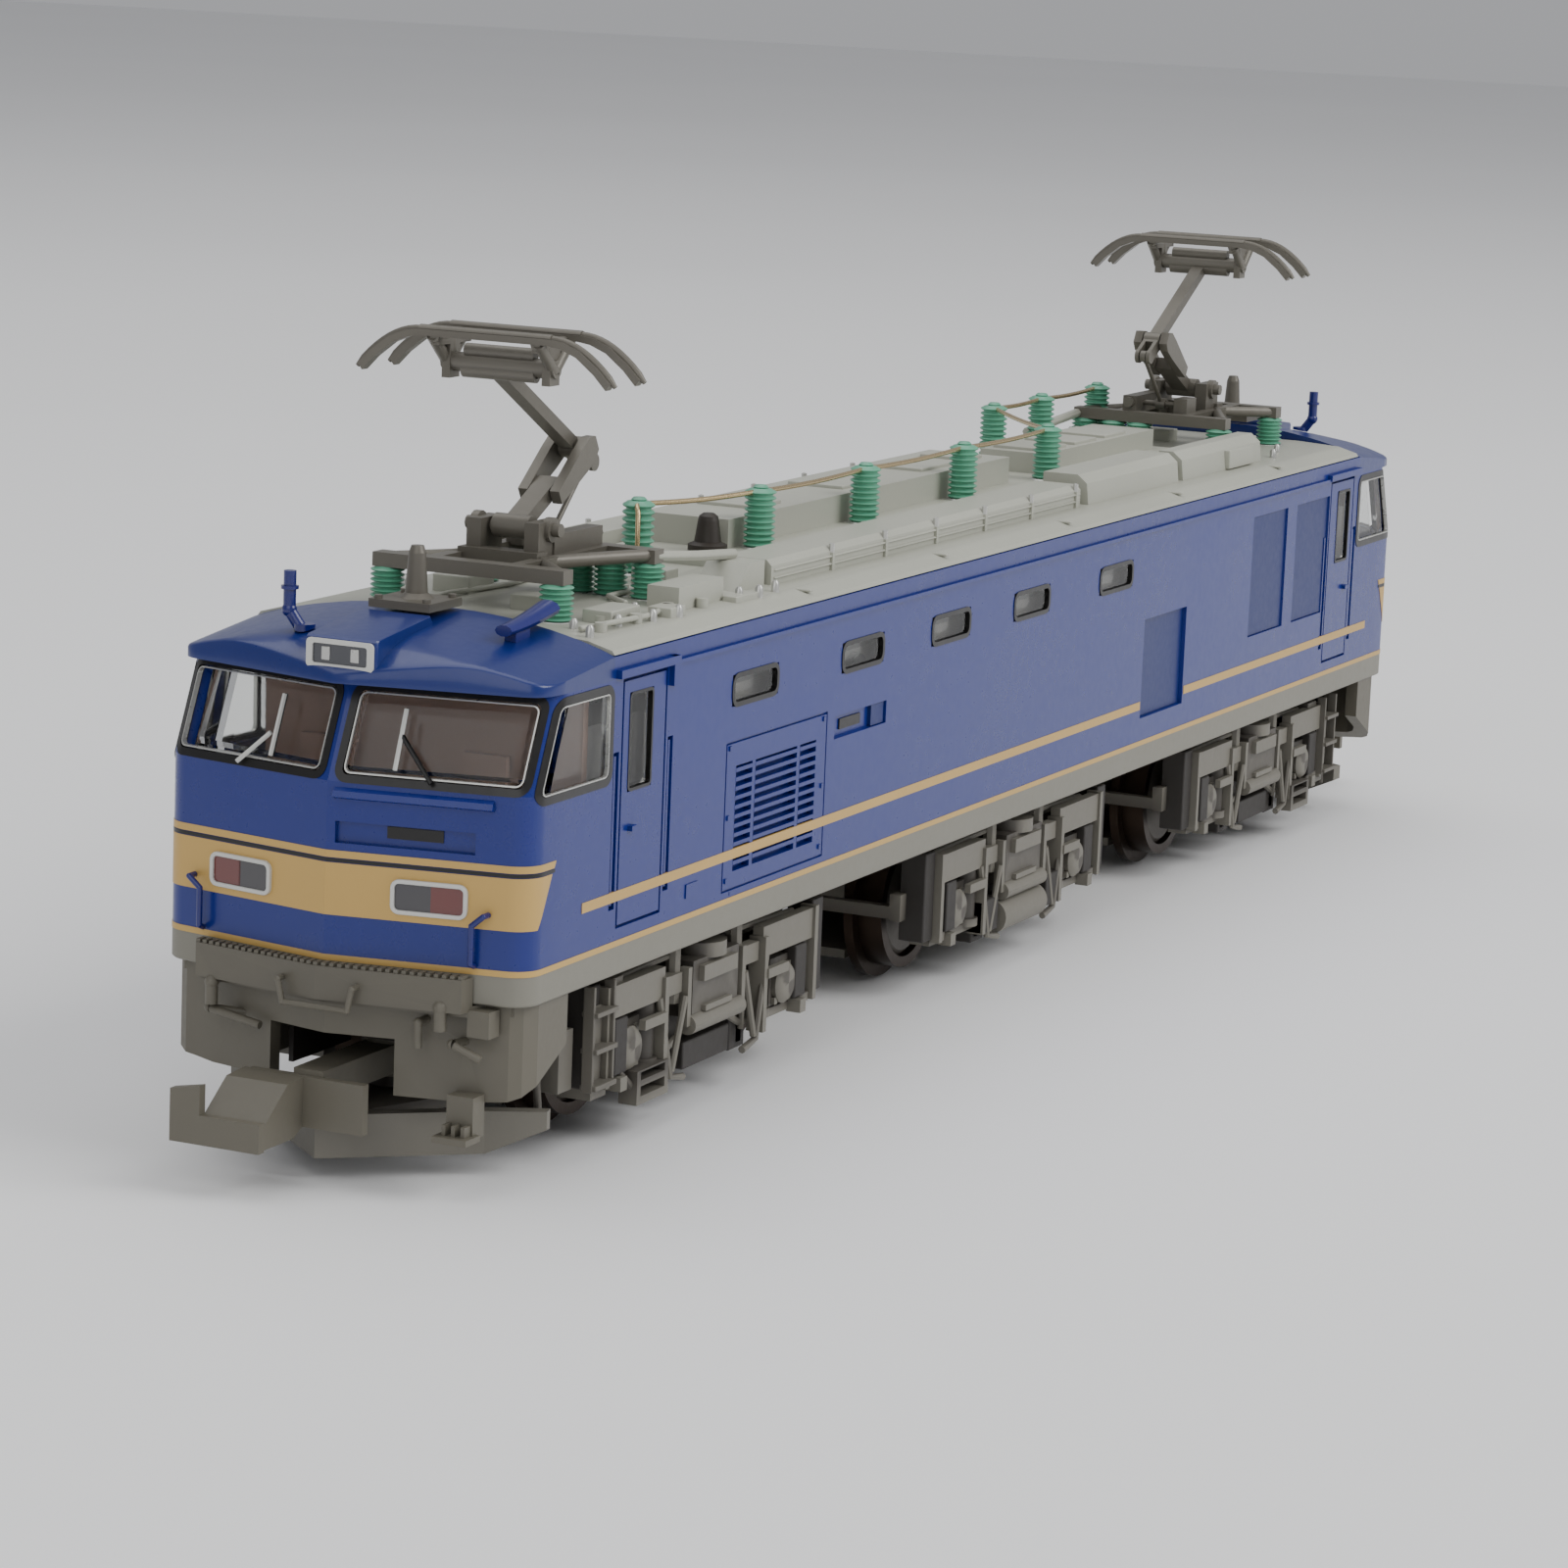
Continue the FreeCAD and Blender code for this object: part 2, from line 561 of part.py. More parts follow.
INSULATOR_FEET = [(-33.2, -0.2, 25.2), (-23.9, -2.7, 25.8), (-10.4, -2.7, 25.8), (3.4, -2.7, 25.8),
                  (16.2, -2.7, 25.8), (25.2, 4.6, 25.8), (33.0, 4.6, 25.8), (42.6, 4.6, 25.8)]
BUS_Z = 28.77
BASE_FEET = [(-50.5, 4.65), (-50.5, -4.65), (-40.8, 4.65), (-40.8, -4.65), (-40.8, -2.6), (-40.8, -0.8)]


def ribbed(name, x, y, z, height, sheds):
    """A post with close, thin round sheds."""
    step = height / sheds
    profile = [(0, z), (0.68, z)]
    for index in range(sheds):
        base = z + index * step
        profile += [(0.68, base + step * 0.2), ("insulator_r", base + step * 0.35),
                    ("insulator_r", base + step * 0.75), (0.68, base + step * 0.9)]
    profile += [(0.5, z + height), (0, z + height)]
    return turned(name, profile, x, y)


def flat_run(path, half):
    """Outline of an even strip that follows a path of points, mitred at the bends."""
    sides = ([], [])
    count = len(path)
    for index, (x, y) in enumerate(path):
        before = path[max(index - 1, 0)]
        after = path[min(index + 1, count - 1)]
        first = math.atan2(y - before[1], x - before[0]) if index else None
        last = math.atan2(after[1] - y, after[0] - x) if index < count - 1 else None
        first = last if first is None else first
        last = first if last is None else last
        middle = (first + last) / 2
        reach = half / math.cos((last - first) / 2)
        for line, sign in zip(sides, (1, -1)):
            line.append((x - sign * reach * math.sin(middle), y + sign * reach * math.cos(middle)))
    return sides[0] + sides[1][::-1]


def make_roof():
    panel = prism("roof_panel_body", "yz", [
        (-9.35, 24.1), (-9.35, 24.45), (-9.75, 24.45), (-9.6, 24.65), (-8.3, 25.0), (-5.5, "roof_z"),
                (5.5, "roof_z"),
        (8.3, 25.0), (9.6, 24.65), (9.75, 24.45), (9.35, 24.45), (9.35, 24.1)],
        "-roof_end_x + 0.15", "roof_end_x - 0.15")
    under = prism("roof_panel_under", "yz", [
        (-8.6, 23.9), (-8.3, 24.2), (-5.5, 24.35), (5.5, 24.35), (8.3, 24.2), (8.6, 23.9)], -53.3, 53.3)
    base = cut("roof_panel_plain", panel, [under])
    bolts = []
    for index, (x, y) in enumerate(((-51.5, -7.6), (-49.5, -6.6), (-47.8, -7.6), (-43.6, -7.2), (-41.0,
            -7.8),
                                    (-39.4, -2.6), (-36.9, -6.2))):
        bolts.append(rod("roof_bolt_%d" % index, "z", (x, y), 0.3, 24.8, 25.5))
    fixings = fuse("roof_fixings", bolts)
    node("roof_panel", fuse("roof_panel_all", [base, fixings, half_turn("roof_fixings_r", fixings)]))
    plateau = fuse("plateau", [box("plateau_fore", (-28.5, 38.4), (-3.9, 3.9), (25.0, 25.75)),
                               box("plateau_aft", (11.6, 38.4), (3.0, 5.9), (25.0, 25.75)),
                               box("plateau_end", (41.72, 43.7), (3.5, 5.9), (25.0, 25.75))])
    ridge = box("ridge", (-25.4, 13.0), (-1.6, 3.6), (25.7, 27.3))
    ridge_far = box("ridge_far", (18.5, 37.0), (-1.6, 2.6), (25.7, 27.0))
    cooler = prism("cooler", "yz", [(-7.2, 24.6), (-7.2, 26.05), (-6.9, 26.35), (-4.4, 26.35), (-4.4,
            24.6)],
            -31.8, 10.6)
    ribs = [box("rib_%d" % k, (-24.6 + k * 6.85, -24.3 + k * 6.85), (-7.35, -7.1), (24.9,
            26.0)) for k in range(6)]
    cooler = fuse("cooler_ribbed", [cooler] + ribs)
    hatches = [prism("hatch_%d" % k, "yz", [(-7.4, 24.6), (-7.2, 26.3), (-6.6, 26.8), (back, 26.8), (back,
            24.6)],
                     low, high) for k, (low, high, back) in enumerate(((11.6, 26.6, -4.4), (27.4, 41.6,
                             -5.65)))]
    small = box("small_box", (-43.0, -38.0), (-7.5, -5.75), (24.6, 26.2))
    end_box = prism("end_box", "xz", [(-36.0, 24.6), (-34.0, 26.4), (-32.2, 26.4), (-32.2, 24.6)], -7.0,
            -4.6)
    centre = fuse("centre_boxes", [plateau, ridge, ridge_far])
    boxes = [centre, cooler, mirrored("cooler_l", cooler, (0, 1, 0)), small, end_box] + hatches
    boxes = [cut("roof_box_%d" % k, part, [panel]) for k, part in enumerate(boxes)]
    node("roof_equipment", group("roof_equipment_all", boxes))
    sticks = []
    for index, (x, y, z) in enumerate(INSULATOR_FEET):
        sticks.append(ribbed("bus_insulator_%d" % index, x, y, z, BUS_Z - 0.18 - z, 9))
    for index, (x, y) in enumerate(BASE_FEET):
        sticks.append(ribbed("front_insulator_%d" % index, x, y, 25.2, 1.7, 6))
        sticks.append(ribbed("rear_insulator_%d" % index, -x, -y, 25.2, 1.7, 6))
    node("roof_insulators", group("insulators", sticks))
    run = flat_run([(x, y) for x, y, _ in INSULATOR_FEET], 0.12)
    node("bus_wire", prism("bus", "xy", run, BUS_Z - 0.12, BUS_Z + 0.12))
    arrester = turned("arrester", pairs(0, 25.8, 1.05, 25.8, 1.05, 26.1, 0.72, 26.25, 0.55, 27.4, 0.5,
            27.6, 0.3, 27.75,
                                        0, 27.75), -26.8, -1.1)
    node("lightning_arrester", arrester)


# ---------------------------------------------------------------- pantographs

def strut(name, start, end, width, height):
    """A flat-sided strut in the XZ plane between two pivots, centred on Y = 0."""
    (ax, az), (bx, bz) = start, end
    run = math.hypot(bx - ax, bz - az)
    nx = -(bz - az) / run * height / 2
    nz = (bx - ax) / run * height / 2
    points = [(ax + nx, az + nz), (bx + nx, bz + nz), (bx - nx, bz - nz), (ax - nx, az - nz)]
    return prism(name, "xz", points, -width / 2, width / 2)


def between(start, end, share):
    return (start[0] + (end[0] - start[0]) * share, start[1] + (end[1] - start[1]) * share)


def make_pantograph():
    hinge = (-D["arm_hinge_x"], D["arm_hinge_z"])
    knee = (-D["knee_x"], D["knee_z"])
    head = (-D["head_x"], D["head_z"])
    arm = (knee[0] - head[0], knee[1] - head[1])
    size = math.hypot(*arm)
    tail = (knee[0] + arm[0] / size * 1.8, knee[1] + arm[1] / size * 1.8)
    foot = (-D["link_foot_x"], D["link_foot_z"])
    parts = [("base_frame", base_frame(hinge, foot)), ("lower_arm", lower_arm(hinge, knee)),
             ("upper_arm", upper_arm(knee, head, tail)), ("link_rod", link_rod(foot, tail)),
             ("head", pan_head(head))]
    for name, part in parts:
        node("pantograph_front_" + name, part)
    for name, part in parts:
        node("pantograph_rear_" + name, half_turn("rear_" + name, part))


def base_frame(hinge, foot):
    """Frame on insulators, with the cheeks that carry the lower pivots and the spring case."""
    frame = [box("beam_front", (-51.0, -50.0), (-5.25, 5.25), (26.95, 27.65)),
             box("beam_back", (-41.3, -40.3), (-5.25, 5.25), (26.95, 27.65)),
             box("cross", (-48.0, -46.9), (-2.2, 2.2), (26.95, 27.9)),
             box("spring_case", (-46.0, -40.9), (-2.1, -1.2), (27.5, 28.6)),
             box("foot_block", (-43.2, -41.5), (1.2, 2.1), (27.5, 28.6))]
    frame += both_sides("runner", box("runner", (-50.9, -40.4), (-2.6, -1.9), (26.95, 27.65)))
    frame += both_sides("cheek", box("cheek", (-47.5, -45.3), (-2.0, -1.2), (26.95, 29.3)))
    pins = [rod("hinge_pin", "y", hinge, 0.28, -1.5, 1.5), rod("foot_pin", "y", foot, 0.18, -1.5, 1.5)]
    return fuse("base_frame", frame + pins)


def lower_arm(hinge, knee):
    """Thick tube that ends in a fork; it runs a little below the line of its pivots."""
    run = math.hypot(knee[0] - hinge[0], knee[1] - hinge[1])
    down = ((knee[1] - hinge[1]) / run, -(knee[0] - hinge[0]) / run)

    def along(share, drop):
        x, z = between(hinge, knee, share)
        return x + down[0] * drop, z + down[1] * drop

    plate = [along(0.42, -0.15), along(0.86, -0.6), along(1.0, -0.68), along(1.08, -0.4),
             along(1.08, 0.4), along(1.0, 0.68), along(0.86, 0.72), along(0.42, 0.6)]
    parts = [strut("lower_tube", along(0.02, 0.03), along(0.6, 0.25), 1.1, 0.75),
             strut("fork_root", along(0.45, 0.2), along(0.59, 0.25), 2.3, 0.72),
             prism("fork_r", "xz", plate, -1.15, -0.62), prism("fork_l", "xz", plate, 0.62, 1.15),
             rod("lower_eye", "y", hinge, 0.6, -1.0, 1.0), rod("knee_pin", "y", knee, 0.24, -1.1, 1.1)]
    return cut("lower_arm", fuse("lower_arm_whole", parts), [rod("lower_bore", "y", hinge, 0.33, -2, 2)])


def upper_arm(knee, head, tail):
    """Thin tube with a slotted tail that takes the top of the thin rod."""
    parts = [strut("upper_tube", between(knee, head, -0.02), between(knee, head, 0.97), 0.8, 0.64),
             strut("upper_tail", knee, tail, 1.0, 0.8), rod("knee_boss", "y", knee, 0.56, -0.54, 0.54),
             rod("tail_boss", "y", tail, 0.45, -0.5, 0.5), rod("head_tube", "y", head, 0.4, -2.0, 2.0)]
    slot = strut("tail_slot", between(knee, tail, 0.36), between(knee, tail, 1.4), 0.52, 1.2)
    holes = [rod("knee_bore", "y", knee, 0.3, -2, 2), rod("head_bore", "y", head, 0.2, -3, 3), slot]
    body = cut("upper_arm_body", fuse("upper_arm_parts", parts), holes)
    return fuse("upper_arm", [body, rod("tail_pin", "y", tail, 0.12, -0.48, 0.48)])


def link_rod(foot, tail):
    """Thin rod with an eye at each end; the top eye has play round its pin."""
    parts = [bar_between("thin_rod", foot, tail, 0.25, 0.14), rod("foot_eye", "y", foot, 0.38, -0.3, 0.3),
             rod("top_eye", "y", tail, 0.36, -0.18, 0.18)]
    bores = [rod("foot_bore", "y", foot, 0.24, -1, 1), rod("top_bore", "y", tail, 0.2, -1, 1)]
    return cut("link_rod", fuse("link_rod_parts", parts), bores)


def bar_between(name, start, end, gap, radius):
    """A thin bar whose end stops a little short of the far pivot."""
    run = math.hypot(end[0] - start[0], end[1] - start[1])
    stop = between(start, end, 1 - gap / run)
    return bar(name, (start[0], 0, start[1]), (stop[0], 0, stop[1]), radius)


def pan_head(head):
    """Two contact strips with drooping horns on a frame that pivots on the upper arm."""
    x, z = head
    horns = [(-6.9, z + 0.05), (-6.2, z + 0.75), (-5.2, z + 1.5), (-4.3, z + 1.85), (-3.6, z + 1.95)]
    top = horns + [(-a, b) for a, b in reversed(horns)]
    low = [(a * 0.965, b - 0.32) for a, b in top]
    strips = []
    for index, offset in enumerate((-1.55, 1.55)):
        strips.append(prism("contact_strip_%d" % index, "yz", top + low[::-1], x + offset - 0.28,
                x + offset + 0.28))
    ends = [box("head_side_%d" % k, (x - 1.6, x + 1.6), (y - 0.22, y + 0.22), (z + 1.2, z + 1.8))
            for k, y in enumerate((-2.75, 2.75))]
    hangers = [box("hanger_%d" % k, (x - 0.5, x + 0.5), (y - 0.22, y + 0.22), (z - 0.45, z + 1.3))
               for k, y in enumerate((-2.75, 2.75))]
    pin = rod("head_pin", "y", head, 0.14, -2.9, 2.9)
    return fuse("head_whole", strips + ends + hangers + [pin])


# ---------------------------------------------------------------- chassis and drive

def make_chassis():
    half = prism("chassis_outline", "xz", [
        (-54.6, 9.9), (-54.6, 21.0), (54.6, 21.0), (54.6, 9.9), (53.3, 9.9), (53.3, 17.6), (30.0, 17.6),
        (30.0, 10.0), (-30.0, 10.0), (-30.0, 17.6), (-53.3, 17.6), (-53.3, 9.9)], 0.3, 8.0)
    motor_w = "motor_w + 0.15"
    pockets = [box("motor_pocket", ("-motor_half - 0.3", "motor_half + 0.3"), (-1, motor_w), (8, 22)),
               rod("flywheel_tunnel", "x", (0, WORM_Z), "flywheel_r + 0.3", -22.0, 22.0),
               rod("shaft_tunnel", "x", (0, WORM_Z), 1.9, -31, 31),
               rod("pivot_bore_a", "z", ("-bogie_x", 0), "pivot_r + 0.1", 17, 18.7),
               rod("pivot_bore_b", "z", ("bogie_x", 0), "pivot_r + 0.1", 17, 18.7)]
    holes = [rod("screw_hole_%d" % k, "y", (x, 19.6), 0.75, 0, 9) for k, x in enumerate((-34.0, -24.6,
            24.6, 34.0))]
    left = cut("chassis_left_half", half, pockets + holes)
    node("chassis_left", left)
    node("chassis_right", mirrored("chassis_right_half", left, (0, 1, 0)))
    screws = []
    for index, x in enumerate((-34.0, -24.6, 24.6, 34.0)):
        shank = rod("screw_shank_%d" % index, "y", (x, 19.6), 0.7, -8.1, 8.0)
        cap = rod("screw_head_%d" % index, "y", (x, 19.6), 1.25, -8.45, -8.05)
        slot = box("screw_slot_%d" % index, (x - 0.9, x + 0.9), (-9, -8.3), (19.45, 19.75))
        cap = cut("screw_cap_%d" % index, cap, [slot])
        screws.append(fuse("screw_%d" % index, [shank, cap]))
    node("chassis_screws", group("screws", screws))
    board = box("board", (-50.0, 50.0), (-6.0, 6.0), (21.3, 22.1))
    chips = [box("chip_%d" % k, (x, x + 3.0), (y, y + 2.0), (22.0, 22.9))
             for k, (x, y) in enumerate(((-46, -4), (-20, 1), (8, -3), (30, 1.5), (44, -4.5)))]
    feet = [box("board_foot_%d" % k, (x - 1, x + 1), (-0.2, 0.2), (20.6, 21.4)) for k,
            x in enumerate((-45, -15, 15, 45))]
    node("circuit_board", fuse("circuit_board_all", [board] + chips + feet))
    strips = [box("strip_%d" % k, (x, x + 9.5), (6.6, 7.6), (9.6, 9.95)) for k, x in enumerate((-29.0,
            19.5))]
    node("pickup_strips", group("pickups", [part for k,
            s in enumerate(strips) for part in both_sides("pickup_%d" % k, s)]))


def make_motor():
    half = "motor_half"
    can = box("motor_can", ("-motor_half", half), ("-motor_w", "motor_w"), (WORM_Z - 4.6, WORM_Z + 4.6))
    bore = rod("motor_bore", "x", (0, WORM_Z), 3.9, -8.0, 8.0)
    ends = rod("motor_end_bores", "x", (0, WORM_Z), "shaft_r + 0.05", -11, 11)
    node("motor_housing", cut("motor_housing_all", can, [bore, ends]))
    shaft = rod("motor_shaft", "x", (0, WORM_Z), "shaft_r", -19.4, 19.4)
    core = rod("armature", "x", (0, WORM_Z), 3.5, -5.5, 5.5)
    slots = [bar("armature_slot_%d" % k, (-6, 3.6 * math.cos(a), WORM_Z + 3.6 * math.sin(a)),
                 (6, 3.6 * math.cos(a), WORM_Z + 3.6 * math.sin(a)), 0.7)
             for k, a in enumerate([math.radians(72 * n) for n in range(5)])]
    commutator = rod("commutator", "x", (0, WORM_Z), 1.5, 5.4, 7.6)
    node("motor_rotor", fuse("rotor", [shaft, cut("armature_core", core, slots), commutator]))
    wheels = []
    for index, low in enumerate((-20.0, 14.0)):
        body = rod("flywheel_%d" % index, "x", (0, WORM_Z), "flywheel_r", low, low + D["flywheel_len"])
        bore_tool = rod("flywheel_bore_%d" % index, "x", (0, WORM_Z), "shaft_r", low - 1, low + 7)
        cup = low - 1 if low < 0 else low + 4.8
        socket = box("flywheel_socket_%d" % index, (cup, cup + 2.2), (-1.25, 1.25), (WORM_Z - 1.25,
                WORM_Z + 1.25))
        wheels.append(cut("flywheel_all_%d" % index, body, [bore_tool, socket]))
    node("flywheels", group("flywheel_pair", wheels))
    joint = -D["bogie_x"] + 4.4
    spindle = rod("cardan_tube", "x", (0, WORM_Z), 0.45, joint - 0.4, -19.6)
    thick = rod("cardan_thick", "x", (0, WORM_Z), 0.7, joint + 2.4, -19.6)
    tip = box("cardan_tip", (-19.95, -19.45), (-1.1, 1.1), (WORM_Z - 0.55, WORM_Z + 0.55))
    cross = rod("cardan_cross", "y", (joint, WORM_Z), 0.2, -0.58, 0.58)
    cardan = fuse("cardan", [spindle, thick, tip, cross])
    node("cardan_shaft_front", cardan)
    node("cardan_shaft_rear", to_rear("cardan_r", cardan))


def gear_outline(teeth, radius, phase):
    """Straight-flanked stub teeth; phase is the direction of one tooth in degrees."""
    outer = radius + 0.13
    root = radius - 0.24
    pitch = 2 * math.pi / teeth
    points = []
    for tooth in range(teeth):
        middle = math.radians(phase) + tooth * pitch
        for offset, size in ((-0.23, root), (-0.15, outer), (0.15, outer), (0.23, root)):
            angle = middle + offset * pitch
            points.append((size * math.cos(angle), size * math.sin(angle)))
    return points


def gear(name, teeth, radius, phase, place, half, bore):
    x, z = place
    points = [(x + a, z + b) for a, b in gear_outline(teeth, radius, phase)]
    disc = toothed(name + "_teeth", points, half)
    hub = rod(name + "_hub", "y", place, radius * 0.55, -half - 0.5, half + 0.5)
    hole = rod(name + "_hole", "y", place, bore, -6, 6)
    return cut(name, fuse(name + "_solid", [disc, hub]), [hole])


def toothed(name, points, half):
    """Gear blank cut from a closed outline; too many corners for a dimensioned sketch."""
    corners = [FreeCAD.Vector(x, -half, z) for x, z in points]
    face = Part.Face(Part.makePolygon(corners + [corners[0]]))
    solid = add("Part::Feature", name)
    solid.Shape = face.extrude(FreeCAD.Vector(0, 2 * half, 0))
    return solid


def mating_phase(first_teeth, first_phase, direction, second_teeth):
    """Phase of the second gear so that a gap faces the first gear's tooth."""
    share = first_teeth * (direction - first_phase) / 360.0
    return direction + 180.0 - (0.5 - share) * 360.0 / second_teeth


def worm(name, centre_x):
    """Single-start worm, its thread set in a gap of the gear below it."""
    core = rod(name + "_core", "x", (0, WORM_Z), "worm_core_r", centre_x - 3.5, centre_x + 5.0)
    turns = 6
    helix = add("Part::Helix", name + "_helix")
    helix.Pitch = WORM_PITCH
    helix.Height = WORM_PITCH * turns
    helix.Radius = D["worm_core_r"]
    low = D["worm_core_r"] - 0.12
    high = D["worm_pitch_r"] + 0.13
    profile = outline(name + "_thread_profile", "xz", [(low, -0.17), (high, -0.09), (high, 0.09), (low,
            0.17)], 0)
    thread = add("Part::Sweep", name + "_thread")
    thread.Sections = [profile]
    thread.Spine = (helix, [])
    thread.Solid = True
    thread.Frenet = True
    thread.Placement = FreeCAD.Placement(
        FreeCAD.Vector(centre_x - WORM_PITCH * turns / 2, 0, WORM_Z), FreeCAD.Rotation(FreeCAD.Vector(0,
                1, 0), 90))
    socket = rod(name + "_socket", "x", (0, WORM_Z), 1.05, centre_x + 3.5, centre_x + 6)
    journal = rod(name + "_journal", "x", (0, WORM_Z), 0.6, centre_x - 4.6, centre_x - 3.4)
    return cut(name, fuse(name + "_solid", [core, thread, journal]), [socket])


def wheelset(name, x):
    """Two wheels with stub axles; tread outside the flange."""
    parts = []
    for side in (-1, 1):
        a, b, c, d = side * 3.75, side * 4.3, side * 5.75, side * 6.1
        parts.append(rod("%s_flange_%d" % (name, side), "y", (x, AXLE_Z), "flange_r", min(a, b), max(a, b)))
        tread = rod("%s_tread_%d" % (name, side), "y", (x, AXLE_Z), "tread_r", min(b, c), max(b, c))
        face = rod("%s_face_%d" % (name, side), "y", (x, AXLE_Z), "tread_r - 0.6", min(c, c - side * 0.35),
                   max(c + side * 0.1, c - side * 0.35))
        parts.append(cut("%s_rim_%d" % (name, side), tread, [face]))
        parts.append(rod("%s_hub_%d" % (name, side), "y", (x, AXLE_Z), 1.1, min(b, c), max(b, c)))
        parts.append(rod("%s_point_%d" % (name, side), "y", (x, AXLE_Z), 0.5, min(c, side * 6.7), max(c,
                side * 6.7)))
    parts.append(rod(name + "_axle", "y", (x, AXLE_Z), "axle_r", -3.8, 3.8))
    return fuse(name, parts)


def sleeve(name, x, phase):
    """Plastic gear pressed on a driven axle."""
    return gear(name, WHEEL_TEETH, WHEEL_GEAR_R, phase, (x, AXLE_Z), 0.8, D["axle_r"])


def side_frame(name, x, middle):
    """One side of a bogie: beam, axle boxes, springs, brake blocks, steps and sand boxes."""
    y_in, y_out = -7.6, -6.95
    parts = [prism(name + "_beam", "xz", [
        (x - 11.4, 4.4), (x - 11.4, 6.2), (x - 9.0, 7.3), (x - 4.5, 7.3), (x - 3.0, 6.6), (x + 3.0, 6.6),
        (x + 4.5, 7.3), (x + 9.0, 7.3), (x + 11.4, 6.2), (x + 11.4, 4.4), (x + 5.6, 4.4), (x + 3.2, 3.4),
        (x - 3.2, 3.4), (x - 5.6, 4.4)], y_in, y_out)]
    for index, side in enumerate((-1, 1)):
        axle = x + side * D["half_base"]
        parts.append(box("%s_axle_box_%d" % (name, index), (axle - 1.35, axle + 1.35), (-8.5, -7.0), (3.3,
                5.8)))
        parts.append(rod("%s_box_cap_%d" % (name, index), "y", (axle, AXLE_Z), 1.0, -8.8, -8.4))
        for shift in (-2.35, 2.35):
            parts.append(rod("%s_spring_%d_%d" % (name, index, round(shift)), "z", (axle + shift, -8.0),
                    0.75, 3.4, 6.4))
            parts.append(rod("%s_seat_%d_%d" % (name, index, round(shift)), "z", (axle + shift, -8.0),
                    0.95, 3.0, 3.45))
            parts.append(rod("%s_cap_%d_%d" % (name, index, round(shift)), "z", (axle + shift, -8.0),
                    0.95, 6.3, 6.7))
        parts.append(box("%s_bridge_%d" % (name, index), (axle - 3.2, axle + 3.2), (-8.5, -7.3), (2.75,
                3.2)))
        parts.append(box("%s_brake_%d" % (name, index), (axle - side * 4.3 - 0.5, axle - side * 4.3 + 0.5),
                         (-7.6, -6.9), (1.7, 4.6)))
        parts.append(box("%s_shoe_%d" % (name, index), (axle - side * 4.2 - 0.3, axle - side * 4.2 + 0.3),
                         (-8.2, -6.9), (2.0, 3.6)))
    parts.append(box(name + "_bolster", (x - 2.6, x + 2.6), (-9.0, -7.2), (4.7, 7.6)))
    parts.append(rod(name + "_damper", "x", (-8.9, 4.4), 0.5, x - 2.9, x + 2.9))
    parts.append(rod(name + "_air_spring", "z", (x, -7.9), 1.5, 7.5, 8.25))
    if middle:
        parts.append(rod(name + "_tank", "x", (-8.4, 2.9), 1.0, x - 3.1, x + 3.1))
        for index, shift in enumerate((-5.2, -4.2, 4.2, 5.2)):
            parts.append(rod("%s_pipe_%d" % (name, index), "z", (x + shift, -7.75), 0.3, 3.6, 7.2))
    return parts


def outer_fittings(name):
    """Sand box, cab step and guard at the outer end of an end bogie."""
    x = -D["bogie_x"] - D["half_base"]
    parts = [box(name + "_sand_box", (x - 4.2, x - 2.6), (-8.8, -6.95), (2.6, 7.2)),
             box(name + "_step_frame", (x - 0.2, x + 3.2), (-9.3, -8.3), (1.6, 3.3))]
    gap = box(name + "_step_gap", (x + 0.2, x + 2.8), (-10, -8.0), (2.0, 2.5))
    gap_two = box(name + "_step_gap_b", (x + 0.2, x + 2.8), (-10, -8.0), (2.8, 3.2))
    parts[1] = cut(name + "_step", parts[1], [gap, gap_two])
    return parts


def plough(name):
    """Snow plough blade below the skirt, carried by the bogie's front cross bar."""
    blade = prism(name + "_blade", "xy", [
        (-64.2, 0), (-59.0, -6.2), (-57.5, -8.7), (-56.8, -8.5), (-58.2, -6.0), (-63.2, 0), (-58.2, 6.0),
                (-56.8, 8.5),
        (-57.5, 8.7), (-59.0, 6.2)], "plough_z", 2.95)
    rise = prism(name + "_rise", "yz", [(-6.2, 0), (-6.2, "plough_z"), (-9.2, 2.3), (-9.2, 0)], -66, -50)
    blade = cut(name + "_shaped", blade, both_sides(name + "_rise", rise))
    top = prism(name + "_top", "xy", [(-63.0, -0.8), (-63.0, 0.8), (-52.9, 5.0), (-52.9, -5.0)], 2.35, 2.9)
    return [blade, top]


def keeper(name, x):
    """Bottom plate that holds the wheelsets up, with cross bars to the side frames."""
    parts = [box(name + "_plate", (x - 10.9, x + 10.9), (-2.9, 2.9), (1.15, 1.65)),
             box(name + "_bar_mid", (x - 1.6, x + 1.6), (-7.3, 7.3), (2.6, 3.85)),
             box(name + "_web_mid", (x - 1.6, x + 1.6), (-2.9, 2.9), (1.5, 2.8))]
    for index, side in enumerate((-1, 1)):
        near, far = sorted((x + side * 13.55, x + side * 14.2))
        parts.append(box("%s_end_bar_%d" % (name, index), (near, far), (-7.3, 7.3), (4.5, 5.2)))
        low, high = sorted((x + side * 11.0, x + side * 14.2))
        rail = box("%s_end_rail_%d" % (name, index), (low, high), (-7.6, -6.95), (4.4, 5.9))
        parts += both_sides("%s_end_rail_%d" % (name, index), rail)
    return parts


